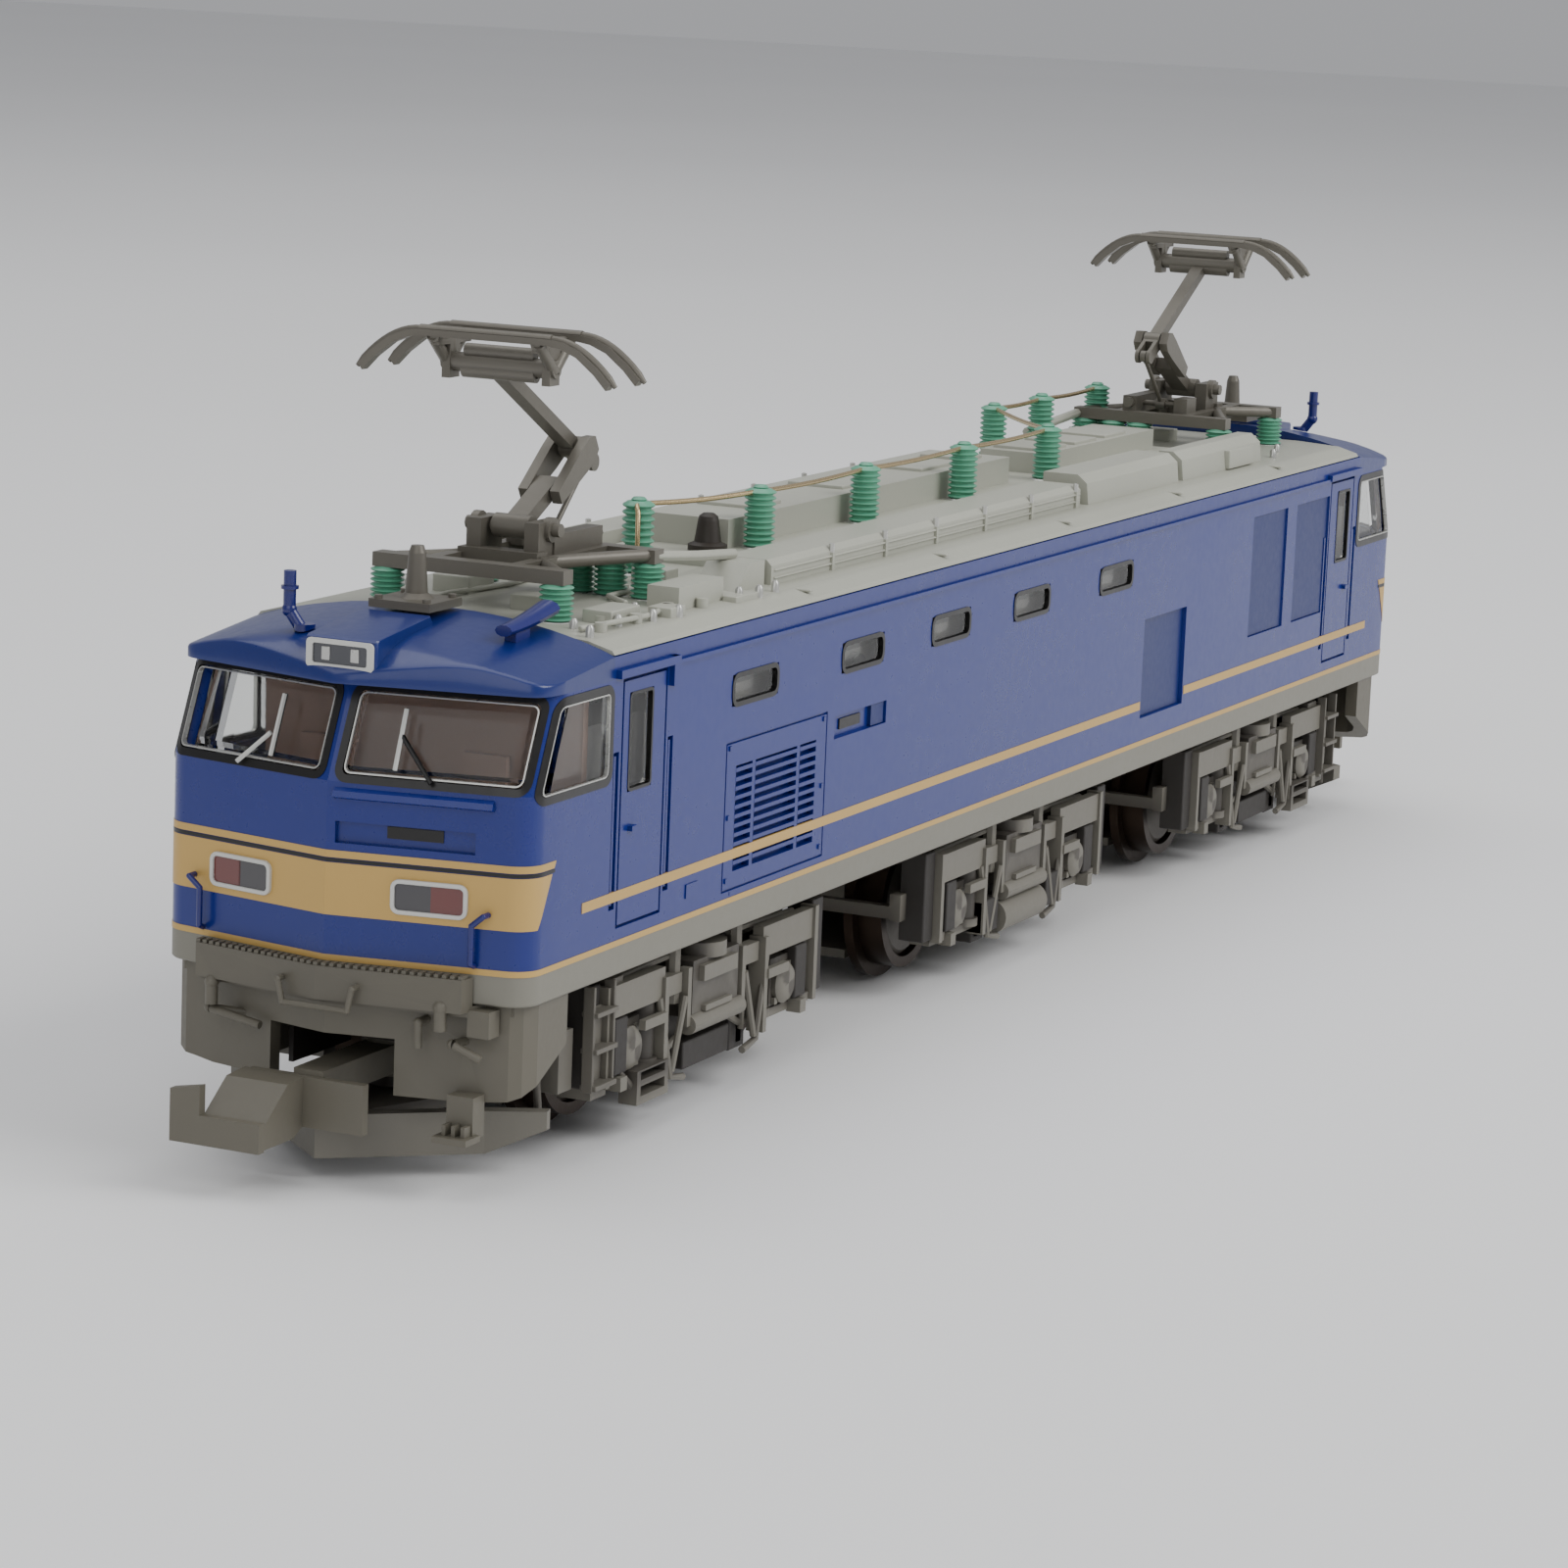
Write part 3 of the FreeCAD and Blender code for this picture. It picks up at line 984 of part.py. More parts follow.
def make_end_bogie():
    x = -D["bogie_x"]
    base = D["half_base"]
    slope = math.degrees(math.atan2(GEAR_Z - AXLE_Z, base))
    reach = WHEEL_GEAR_R + IDLER_R
    down = math.radians(slope)
    idlers = [(x + side * reach * math.cos(down), GEAR_Z - reach * math.sin(down)) for side in (-1, 1)]
    directions = (180.0 + slope, -slope)

    frame = [box("tower", (x - 5.2, x + 5.2), (-2.3, 2.3), (9.3, 17.3)),
             box("gearbox", (x - 12.5, x + 12.5), (-2.3, 2.3), (3.9, 9.4)),
             box("bolster_bar", (x - 1.5, x + 1.5), (-6.3, 6.3), (7.6, 8.6)),
             rod("pivot_boss", "z", (x, 0), "pivot_r", 16.9, 18.3)]
    hollow = [box("gear_slot", (x - 11.8, x + 11.8), (-1.45, 1.45), (2, 8.9)),
              box("idler_slot", (x - 7.8, x + 7.8), (-1.45, 1.45), (2, 10.9)),
              box("tower_slot", (x - 3.6, x + 3.6), (-1.45, 1.45), (5, 13.8)),
              rod("worm_tunnel", "x", (0, WORM_Z), 1.85, x - 3.7, x + 3.4),
              rod("worm_inner_bearing", "x", (0, WORM_Z), "worm_core_r + 0.08", x, x + 6),
              rod("worm_bearing", "x", (0, WORM_Z), 0.65, x - 6, x)]
    for index, side in enumerate((-1, 1)):
        axle = x + side * base
        hollow.append(rod("axle_gate_%d" % index, "y", (axle, AXLE_Z), "axle_r + 0.08", -3, 3))
        hollow.append(box("axle_slot_%d" % index, (axle - 0.83, axle + 0.83), (-3, 3), (3, AXLE_Z)))
    pins = [rod("centre_pin", "y", (x, GEAR_Z), 0.5, -2.3, 2.3)]
    pins += [rod("idler_pin_%d" % k, "y", place, 0.5, -2.3, 2.3) for k, place in enumerate(idlers)]
    tower = fuse("bogie_frame_all", [cut("bogie_frame_shell", fuse("bogie_frame_solid", frame),
            hollow)] + pins)
    sides = side_frame("end_side", x, False) + outer_fittings("outer")
    one_side = fuse("end_side_all", sides)
    under = keeper("end_keeper", x) + plough("plough")
    post = box("plough_post", (x - 14.5, x - 13.1), (-2.0, 2.0), (2.5, 5.2))
    rig = fuse("end_rig", both_sides("end_side", one_side) + under + [post])
    rig = cut("end_rig_all", rig, [box("wheel_room_%d" % k, (x + s * base - 4.7, x + s * base + 4.7),
            (-6.4, 6.4), (1.7, 9))
                                   for k, s in enumerate((-1, 1))])

    # The gear phases follow from one tooth of the centre gear pointing straight up.
    centre_phase = 90.0 + 360.0 / WHEEL_TEETH / 2
    centre = gear("centre_gear", WHEEL_TEETH, WHEEL_GEAR_R, centre_phase, (x, GEAR_Z), 0.8, 0.56)
    parts = [("frame", tower), ("side_frames", rig), ("worm", worm("worm", x)), ("centre_gear", centre)]
    for index, (label, side) in enumerate((("outer", -1), ("inner", 1))):
        direction = directions[index]
        idler_phase = mating_phase(WHEEL_TEETH, centre_phase, direction, IDLER_TEETH)
        wheel_phase = mating_phase(IDLER_TEETH, idler_phase, direction, WHEEL_TEETH)
        idler = gear("idler_" + label, IDLER_TEETH, IDLER_R, idler_phase, idlers[index], 0.8, 0.56)
        axle = x + side * base
        driven = group("driven_" + label, [wheelset("wheelset_" + label, axle), sleeve("sleeve_" + label,
                axle, wheel_phase)])
        parts.append(("%s_idler" % label, idler))
        parts.append(("%s_wheelset" % label, driven))
    for name, part in parts:
        node("bogie_front_" + name, part)
    for name, part in parts:
        node("bogie_rear_" + name, half_turn("rear_" + name, part))


def make_middle_bogie():
    frame = [box("middle_gearless", (-10.6, 10.6), (-2.6, 2.6), (3.9, 6.2)),
             box("middle_bar", (-1.5, 1.5), (-6.3, 6.3), (5.6, 6.4)),
             rod("middle_boss", "z", (0, 0), 2.2, 6.0, 9.0)]
    hollow = []
    for index, side in enumerate((-1, 1)):
        axle = side * D["half_base"]
        hollow.append(rod("mid_gate_%d" % index, "y", (axle, AXLE_Z), "axle_r + 0.08", -3, 3))
        hollow.append(box("mid_slot_%d" % index, (axle - 0.83, axle + 0.83), (-3, 3), (3, AXLE_Z)))
    node("bogie_middle_frame", cut("middle_frame_all", fuse("middle_frame_solid", frame), hollow))
    one_side = fuse("middle_side_all", side_frame("middle_side", 0, True))
    under = keeper("middle_keeper", 0)
    rig = fuse("middle_rig", both_sides("middle_side", one_side) + under)
    rig = cut("middle_rig_all", rig, [box("mid_room_%d" % k, (s * 8.8 - 4.7, s * 8.8 + 4.7), (-6.4, 6.4),
            (1.7, 9))
                                      for k, s in enumerate((-1, 1))])
    node("bogie_middle_side_frames", rig)
    node("bogie_middle_front_wheelset", wheelset("middle_front_wheels", -D["half_base"]))
    node("bogie_middle_rear_wheelset", wheelset("middle_rear_wheels", D["half_base"]))


def make_couplers():
    x = -D["coupler_x"]
    z = D["coupler_z"]
    shank = prism("shank", "xy", [(x + 0.9, -0.9), (x + 0.9, 0.9), (-64.9, 0.8), (-64.9, -0.8)], z - 0.7,
            z + 0.7)
    boss = rod("coupler_boss", "z", (x, 0), 1.5, z - 0.9, z + 0.9)
    plate = box("coupler_plate", (-65.2, -64.7), (-3.1, 3.1), (2.6, 5.0))
    hook = prism("hook", "xz", [
        (-65.0, 2.7), (-65.0, 5.0), (-66.6, 4.9), (-68.7, 3.3), (-68.7, 2.2), (-66.0, 2.2)], 0.1, 3.4)
    jaw = box("jaw", (-69.1, -68.6), (0.1, 4.9), (2.1, 3.5))
    fin = prism("jaw_fin", "yz", [(3.3, 2.3), (4.9, 2.3), (4.9, 4.6), (3.3, 4.9)], -69.1, -68.6)
    body = fuse("coupler_solid", [shank, boss, plate, hook, jaw, fin])
    front = cut("coupler_all", body, [rod("coupler_bore", "z", (x, 0), 0.7, 0, 9)])
    node("coupler_front", front)
    node("coupler_rear", half_turn("coupler_r", front))
    arm = box("pocket_plate", (x - 2.2, -53.4), (-2.6, 2.6), (z + 1.1, z + 1.8))
    riser = box("pocket_riser", (-54.9, -53.4), (-2.6, 2.6), (z + 1.5, 9.88))
    stud = rod("pocket_stud", "z", (x, 0), 0.6, z - 1.1, z + 1.3)
    clip = rod("pocket_clip", "z", (x, 0), 1.1, z - 1.5, z - 1.0)
    pocket = fuse("pocket", [arm, riser, stud, clip])
    node("coupler_mounts", group("pockets", [pocket, half_turn("pocket_r", pocket)]))


make_body()
make_glazing()
make_lamps()
make_handrails()
make_skirts()
make_cab_fittings()
make_cab_interior()
make_roof()
make_pantograph()
make_chassis()
make_motor()
make_end_bogie()
make_middle_bogie()
make_couplers()
doc.recompute()

for thing in doc.Objects:
    if "Invalid" in thing.State or "Error" in thing.State:
        raise RuntimeError("%s did not compute" % thing.Name)

os.makedirs("parts", exist_ok=True)
for part in NODES:
    shape = part.Shape
    if shape.isNull() or not shape.isValid():
        raise RuntimeError("%s has no valid shape" % part.Label)
    print("%-34s solids %2d volume %9.2f" % (part.Label, len(shape.Solids), shape.Volume))
    shape.exportStep("parts/%s.step" % part.Label)
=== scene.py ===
import json
import math

import bmesh
import bpy
import numpy as np
from mathutils import Matrix, Vector


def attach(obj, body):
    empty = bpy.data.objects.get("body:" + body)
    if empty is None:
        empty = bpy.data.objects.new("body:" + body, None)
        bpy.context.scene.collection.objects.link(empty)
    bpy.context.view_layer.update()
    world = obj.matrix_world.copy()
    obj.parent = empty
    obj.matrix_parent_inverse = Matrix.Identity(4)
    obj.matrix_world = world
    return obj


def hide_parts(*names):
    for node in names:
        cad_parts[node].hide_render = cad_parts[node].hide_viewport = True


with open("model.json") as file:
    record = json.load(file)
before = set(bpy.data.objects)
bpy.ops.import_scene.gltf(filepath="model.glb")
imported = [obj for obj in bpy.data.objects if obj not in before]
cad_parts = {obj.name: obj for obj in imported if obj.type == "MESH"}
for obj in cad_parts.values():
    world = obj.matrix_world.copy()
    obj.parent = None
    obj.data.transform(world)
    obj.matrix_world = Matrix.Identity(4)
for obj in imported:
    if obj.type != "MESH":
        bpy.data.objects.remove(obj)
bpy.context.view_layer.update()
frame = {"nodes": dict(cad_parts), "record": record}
NODES = frame["nodes"]

# Lengths below are in millimetres and are divided by a thousand when a piece is made.
HALF_W, CORNER_X, NOSE_X = 9.85, 62.0, 63.8
BELT_Z, EAVE_Z = 18.8, 24.4
RAKE, CORNER_R, SCREEN_RISE = 1.95, 1.4, 4.5
ROOF_END, LEAN_END = 54.3, -54.6

FRONT_LEN = math.hypot(NOSE_X - CORNER_X, HALF_W)
TURN = math.acos((NOSE_X - CORNER_X) / FRONT_LEN)
TANGENT = CORNER_R * math.tan(TURN / 2)
ARC_START = FRONT_LEN - TANGENT
ARC_END = ARC_START + CORNER_R * TURN
SIDE_X = CORNER_X - TANGENT
HALF_RUN = ARC_END + SIDE_X
LOOP = 4 * HALF_RUN


# ------------------------------------------------------------------ finishes

def link(tree, a, b):
    tree.links.new(a, b)


def finish_of(name, colour, rough=0.4, metal=0.0, tone=0.08, patch=70.0, grain=2500.0, bump=0.012,
              edge_highlight=0.0, edge_highlight_colour=(0.6, 0.6, 0.58), hollow_shade=0.0, hollow_shade_colour=(0.5, 0.48, 0.43), coat=0.0,
              rough_span=0.10, clear=0.0, alpha=1.0, ior=1.5, sheen_streak=0.0):
    """A moulded, painted or metal finish: slow tone drift, fine grain, a painted highlight on the edges and
    painted shade in the hollows.
    """
    mat = bpy.data.materials.new(name)
    mat.use_nodes = True
    tree = mat.node_tree
    shader = tree.nodes["Principled BSDF"]
    place = tree.nodes.new("ShaderNodeTexCoord")
    slow = tree.nodes.new("ShaderNodeTexNoise")
    slow.inputs["Scale"].default_value = patch
    slow.inputs["Detail"].default_value = 3.0
    fine = tree.nodes.new("ShaderNodeTexNoise")
    fine.inputs["Scale"].default_value = grain
    fine.inputs["Detail"].default_value = 2.0
    link(tree, place.outputs["Object"], slow.inputs["Vector"])
    link(tree, place.outputs["Object"], fine.inputs["Vector"])
    drift = tree.nodes.new("ShaderNodeMapRange")
    drift.inputs["From Min"].default_value = 0.3
    drift.inputs["From Max"].default_value = 0.7
    drift.inputs["To Min"].default_value = 1.0 - tone
    drift.inputs["To Max"].default_value = 1.0 + tone
    link(tree, slow.outputs["Fac"], drift.inputs["Value"])
    base = tree.nodes.new("ShaderNodeVectorMath")
    base.operation = "SCALE"
    base.inputs[0].default_value = colour
    link(tree, drift.outputs["Result"], base.inputs["Scale"])
    last = base.outputs["Vector"]
    # Pointiness picks the edges for a lighter colour, a painted highlight, and the hollows for a darker one,
    # painted shade.
    if edge_highlight > 0 or hollow_shade > 0:
        shape = tree.nodes.new("ShaderNodeNewGeometry")
        for amount, tint, low, high in ((edge_highlight, edge_highlight_colour, 0.53, 0.62), (hollow_shade, hollow_shade_colour, 0.49, 0.42)):
            if amount <= 0:
                continue
            pick = tree.nodes.new("ShaderNodeMapRange")
            pick.inputs["From Min"].default_value = low
            pick.inputs["From Max"].default_value = high
            pick.inputs["To Max"].default_value = amount
            link(tree, shape.outputs["Pointiness"], pick.inputs["Value"])
            mix = tree.nodes.new("ShaderNodeMix")
            mix.data_type = "RGBA"
            link(tree, pick.outputs["Result"], mix.inputs["Factor"])
            link(tree, last, mix.inputs["A"])
            mix.inputs["B"].default_value = (*tint, 1.0)
            last = mix.outputs["Result"]
    link(tree, last, shader.inputs["Base Color"])
    spread = tree.nodes.new("ShaderNodeMapRange")
    spread.inputs["From Min"].default_value = 0.3
    spread.inputs["From Max"].default_value = 0.7
    spread.inputs["To Min"].default_value = max(rough - rough_span / 2, 0.02)
    spread.inputs["To Max"].default_value = min(rough + rough_span / 2, 1.0)
    blend = tree.nodes.new("ShaderNodeMix")
    blend.inputs["Factor"].default_value = 0.5
    link(tree, slow.outputs["Fac"], blend.inputs["A"])
    link(tree, fine.outputs["Fac"], blend.inputs["B"])
    link(tree, blend.outputs["Result"], spread.inputs["Value"])
    link(tree, spread.outputs["Result"], shader.inputs["Roughness"])
    lift = tree.nodes.new("ShaderNodeBump")
    lift.inputs["Strength"].default_value = 1.0
    lift.inputs["Distance"].default_value = bump / 1000.0
    link(tree, fine.outputs["Fac"], lift.inputs["Height"])
    link(tree, lift.outputs["Normal"], shader.inputs["Normal"])
    shader.inputs["Metallic"].default_value = metal
    shader.inputs["Coat Weight"].default_value = coat
    shader.inputs["Coat Roughness"].default_value = 0.08
    shader.inputs["IOR"].default_value = ior
    shader.inputs["Transmission Weight"].default_value = clear
    shader.inputs["Alpha"].default_value = alpha
    return mat


SHADE = 0.6


def rgb(red, green, blue):
    """Linear colour from the usual 0 to 255 values, toned down for the bright studio light."""
    values = []
    for part in (red, green, blue):
        part = part / 255.0
        values.append(SHADE * (part / 12.92 if part <= 0.04045 else ((part + 0.055) / 1.055) ** 2.4))
    return tuple(values)


BODY_BLUE = finish_of("body_blue", rgb(8, 42, 146), 0.3, tone=0.05, grain=1800, bump=0.002, coat=0.1)
ROOF_BLUE = finish_of("cab_roof_blue", rgb(10, 44, 132), 0.32, tone=0.05, grain=2200, bump=0.006, coat=0.2)
DEEP_BLUE = finish_of("fitting_blue", rgb(10, 28, 130), 0.3, tone=0.06, bump=0.006, coat=0.3)
# Darker blue for the sheets in the sunk vents and panels: painted shade in the recesses.
SHADE_BLUE = finish_of("recess_shade_blue", rgb(12, 40, 122), 0.42, tone=0.06, bump=0.006)
GOLD = finish_of("gold_paint", rgb(244, 200, 116), 0.42, metal=0.1, tone=0.05, grain=4200, bump=0.004)
SILL_GREY = finish_of("sill_grey", rgb(158, 155, 142), 0.5, tone=0.04, bump=0.006)
# The darker second colour of the roof, skirt and bogie greys is painted shade in their hollows, and the
# lighter one of the bogie and pantograph greys is a painted highlight on their edges.
ROOF_GREY = finish_of("roof_grey", rgb(214, 215, 200), 0.42, tone=0.04, bump=0.006, hollow_shade=0.25,
                      hollow_shade_colour=rgb(140, 140, 130))
SKIRT_GREY = finish_of("skirt_grey", rgb(124, 119, 105), 0.48, tone=0.05, bump=0.01, hollow_shade=0.25,
                       hollow_shade_colour=rgb(95, 90, 80))
BOGIE_GREY = finish_of("bogie_grey", rgb(98, 93, 85), 0.55, tone=0.08, bump=0.014, hollow_shade=0.6,
                       hollow_shade_colour=rgb(44, 41, 37), edge_highlight=0.5, edge_highlight_colour=rgb(176, 172, 158))
DARK_GREY = finish_of("dark_plastic", rgb(62, 58, 54), 0.6, tone=0.08, bump=0.01)
BLACK_TRIM = finish_of("black_trim", rgb(24, 22, 21), 0.35, tone=0.1, bump=0.004)
WHITE_TRIM = finish_of("white_trim", rgb(250, 250, 244), 0.4, tone=0.03, bump=0.004)
SILVER_TRIM = finish_of("silver_trim", rgb(240, 240, 234), 0.3, metal=0.6, tone=0.04, bump=0.004)
GREEN = finish_of("insulator_green", rgb(118, 206, 168), 0.34, tone=0.05, bump=0.006, coat=0.2)
PANTO_GREY = finish_of("pantograph_grey", rgb(128, 123, 112), 0.42, metal=0.35, tone=0.06, bump=0.008,
                       edge_highlight=0.2, edge_highlight_colour=rgb(170, 166, 155))
ARRESTER = finish_of("arrester_brown", rgb(58, 50, 42), 0.5, tone=0.06, bump=0.008)
COPPER = finish_of("copper_wire", rgb(250, 222, 170), 0.28, metal=0.9, tone=0.05, bump=0.003)
BRASS = finish_of("turned_brass", rgb(206, 174, 98), 0.3, metal=1.0, tone=0.05, bump=0.004)
STEEL = finish_of("plain_steel", rgb(176, 176, 174), 0.34, metal=1.0, tone=0.05, bump=0.004)
CAST = finish_of("die_cast", rgb(226, 222, 212), 0.5, metal=0.3, tone=0.08, bump=0.02)
WHEEL = finish_of("wheel_brown", rgb(70, 56, 46), 0.34, metal=0.8, tone=0.08, bump=0.006)
HUB_GREY = finish_of("wheel_disc_grey", rgb(112, 106, 98), 0.5, tone=0.06, bump=0.01)
GEAR_BLACK = finish_of("gear_plastic", rgb(38, 37, 36), 0.45, tone=0.08, bump=0.006)
CABIN = finish_of("cabin_buff", rgb(214, 176, 158), 0.55, tone=0.06, bump=0.01)
BOARD = finish_of("board_green", rgb(36, 84, 52), 0.45, tone=0.08, bump=0.01)
GLASS = finish_of("clear_glazing", (0.9, 0.91, 0.9), 0.06, tone=0.01, bump=0.001, clear=1.0, rough_span=0.04,
                  ior=1.3)
LENS_DARK = finish_of("lens_grey", rgb(74, 72, 76), 0.16, tone=0.08, bump=0.004, coat=0.6)
LENS_RED = finish_of("lens_red", rgb(128, 56, 52), 0.16, tone=0.08, bump=0.004, coat=0.6)
LENS_CLEAR = finish_of("lens_clear", rgb(66, 68, 76), 0.12, tone=0.05, bump=0.002, coat=0.8)


# ------------------------------------------------------------------ building meshes

class Stock:
    """Points and faces of one piece, gathered from many shapes."""

    def __init__(self):
        self.points = []
        self.faces = []
        self.count = 0

    def add(self, points, faces):
        points = np.asarray(points, float).reshape(-1, 3)
        self.points.append(points)
        self.faces += [tuple(int(i) + self.count for i in face) for face in faces]
        self.count += len(points)


def piece(name, stock, mat, body="locomotive", soft=35.0, stands_for=(), bevel=0.0):
    """Make an object from gathered millimetre shapes, facing outwards, and let it ride on a body."""
    mesh = bpy.data.meshes.new(name)
    points = np.concatenate(stock.points) / 1000.0
    mesh.from_pydata(points.tolist(), [], stock.faces)
    mesh.update()
    work = bmesh.new()
    work.from_mesh(mesh)
    bmesh.ops.recalc_face_normals(work, faces=work.faces)
    work.to_mesh(mesh)
    work.free()
    mesh.polygons.foreach_set("use_smooth", [True] * len(mesh.polygons))
    mesh.set_sharp_from_angle(angle=math.radians(soft))
    mesh.materials.append(mat)
    obj = bpy.data.objects.new(name, mesh)
    bpy.context.scene.collection.objects.link(obj)
    if bevel > 0:
        round_off = obj.modifiers.new("edges", "BEVEL")
        round_off.width = bevel / 1000.0
        round_off.segments = 2
        round_off.limit_method = "ANGLE"
        round_off.angle_limit = math.radians(40)
        round_off.harden_normals = False
    if stands_for:
        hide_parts(*stands_for)
    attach(obj, body)
    return obj


def grid_faces(rows, columns, wrap_rows=False, wrap_columns=False, base=0):
    """Quads of a rows by columns sheet, optionally joined round either way."""
    faces = []
    for i in range(rows if wrap_rows else rows - 1):
        for j in range(columns if wrap_columns else columns - 1):
            a = base + i * columns + j
            b = base + i * columns + (j + 1) % columns
            c = base + ((i + 1) % rows) * columns + (j + 1) % columns
            d = base + ((i + 1) % rows) * columns + j
            faces.append((a, b, c, d))
    return faces


def sheet_pair(rows, columns):
    """Faces of two sheets of the same grid, one after the other, joined all round their rims."""
    total = rows * columns
    faces = grid_faces(rows, columns) + grid_faces(rows, columns, base=total)
    rim = list(range(columns))
    rim += [i * columns + columns - 1 for i in range(1, rows)]
    rim += [(rows - 1) * columns + j for j in range(columns - 2, -1, -1)]
    rim += [i * columns for i in range(rows - 2, 0, -1)]
    for a, b in zip(rim, rim[1:] + rim[:1]):
        faces.append((a, b, b + total, a + total))
    return faces


def on_skin(run, height, off):
    """Body surface: distance run round the plan from the front crease, height, and distance outwards.

    The plan is a straight nose face, a round corner and a straight side, mirrored into four quarters;
    above the belt line the nose leans inwards in proportion to height, and the lean fades out along
    the cab side.
    """
    run, height, off = np.broadcast_arrays(*[np.asarray(value, float) for value in (run, height, off)])
    run = np.mod(run, LOOP)
    quarter = np.minimum((run // HALF_RUN).astype(int), 3)
    s = np.where(quarter == 0, run, np.where(quarter == 1, 2 * HALF_RUN - run,
                 np.where(quarter == 2, run - 2 * HALF_RUN, LOOP - run)))
    sx = np.where((quarter == 1) | (quarter == 2), -1.0, 1.0)
    sy = np.where(quarter >= 2, -1.0, 1.0)
    share = s / FRONT_LEN
    nose_n = math.pi + math.atan2(NOSE_X - CORNER_X, HALF_W)
    theta = nose_n + np.clip((s - ARC_START) / CORNER_R, 0, TURN)
    x = np.where(s < ARC_START, -NOSE_X + (NOSE_X - CORNER_X) * share,
                 np.where(s < ARC_END, -SIDE_X + CORNER_R * np.cos(theta), -SIDE_X + (s - ARC_END)))
    y = np.where(s < ARC_START, -HALF_W * share,
                 np.where(s < ARC_END, -(HALF_W - CORNER_R) + CORNER_R * np.sin(theta), -HALF_W))
    nx, ny = np.cos(theta), np.sin(theta)
    lean = RAKE * np.clip((height - BELT_Z) / SCREEN_RISE, 0, 1.3)
    fade = np.clip((LEAN_END - x) / (LEAN_END + SIDE_X), 0, 1)
    x = x + lean * fade + nx * off
    y = y + ny * off
    return np.stack([x * sx, y * sy, height], -1)


def side_run(x):
    """Run on the near side at a given distance along the locomotive."""
    return HALF_RUN + x


def nose_run(y):
    """Run on the front at a given distance across, positive to the left."""
    return -y * FRONT_LEN / HALF_W


def round_corners(low_u, high_u, low_v, high_v, radius, steps=5):
    """Outline of a rectangle with round corners, anticlockwise."""
    points = []
    for cu, cv, start in ((high_u - radius, high_v - radius, 0), (low_u + radius, high_v - radius, 90),
                          (low_u + radius, low_v + radius, 180), (high_u - radius, low_v + radius, 270)):
        for k in range(steps + 1):
            angle = math.radians(start + 90.0 * k / steps)
            points.append((cu + radius * math.cos(angle), cv + radius * math.sin(angle)))
    return np.array(points)


def fine_loop(points, longest):
    """Add points so that no side of a loop is longer than asked."""
    made = []
    for a, b in zip(points, np.roll(points, -1, 0)):
        count = max(1, int(math.ceil(np.linalg.norm(b - a) / longest)))
        made += [a + (b - a) * k / count for k in range(count)]
    return np.array(made)


def ring_on_skin(stock, run0, run1, low, high, width, radius, out, inn, longest=1.2):
    """A closed frame of constant width round an opening in the body."""
    corners = round_corners(run0 - width, run1 + width, low - width, high + width, radius + width)
    outer = fine_loop(corners, longest)
    inner = []
    for u, v in outer:
        du = np.clip(u, run0 + radius, run1 - radius)
        dv = np.clip(v, low + radius, high - radius)
        gap = np.array([u - du, v - dv])
        size = max(np.linalg.norm(gap), 1e-9)
        inner.append(np.array([du, dv]) + gap * radius / size)
    inner = np.array(inner)
    loops = []
    for loop, off in ((outer, inn), (outer, out), (inner, out), (inner, inn)):
        loops.append(on_skin(loop[:, 0], loop[:, 1], off))
    count = len(outer)
    stock.add(np.concatenate(loops), grid_faces(4, count, True, True))


def box_shape(stock, low, high):
    """A box between two corners."""
    low, high = np.array(low, float), np.array(high, float)
    corners = [[(low, high)[(k >> axis) & 1][axis] for axis in range(3)] for k in range(8)]
    stock.add(corners, [(0, 2, 3, 1), (4, 5, 7, 6), (0, 1, 5, 4), (2, 6, 7, 3), (0, 4, 6, 2), (1, 3, 7, 5)])


def turned_box(stock, low, high, x_sign=1, y_sign=1, at=0.0):
    """A box with its corners mirrored across either axis and moved along the locomotive."""
    corners = np.array([low, high], float) * [x_sign, y_sign, 1] + [at, 0, 0]
    low, high = np.sort(corners, 0)
    box_shape(stock, low, high)


def tube(stock, path, radius, sides=8, flat=1.0):
    """A tube along a path of points.

    Each ring point is the path point plus the size times (cosine of the turn along the side direction
    plus flat times the sine along the up direction); the size may change from point to point.
    """
    path = np.asarray(path, float)
    radius = np.broadcast_to(np.asarray(radius, float), (len(path),))
    tangent = np.gradient(path, axis=0)
    tangent /= np.linalg.norm(tangent, axis=1)[:, None]
    up = np.array([0.0, 0.0, 1.0]) if abs(tangent[0][2]) < 0.9 else np.array([1.0, 0.0, 0.0])
    rings = []
    for point, along, size in zip(path, tangent, radius):
        side = np.cross(along, up)
        side /= np.linalg.norm(side)
        up = np.cross(side, along)
        angle = np.linspace(0, 2 * math.pi, sides, endpoint=False)
        rings.append(point + size * (np.outer(np.cos(angle), side) + flat * np.outer(np.sin(angle), up)))
    points = np.concatenate(rings)
    faces = grid_faces(len(path), sides, False, True)
    faces.append(tuple(range(sides)))
    faces.append(tuple(len(points) - sides + k for k in range(sides - 1, -1, -1)))
    stock.add(points, faces)


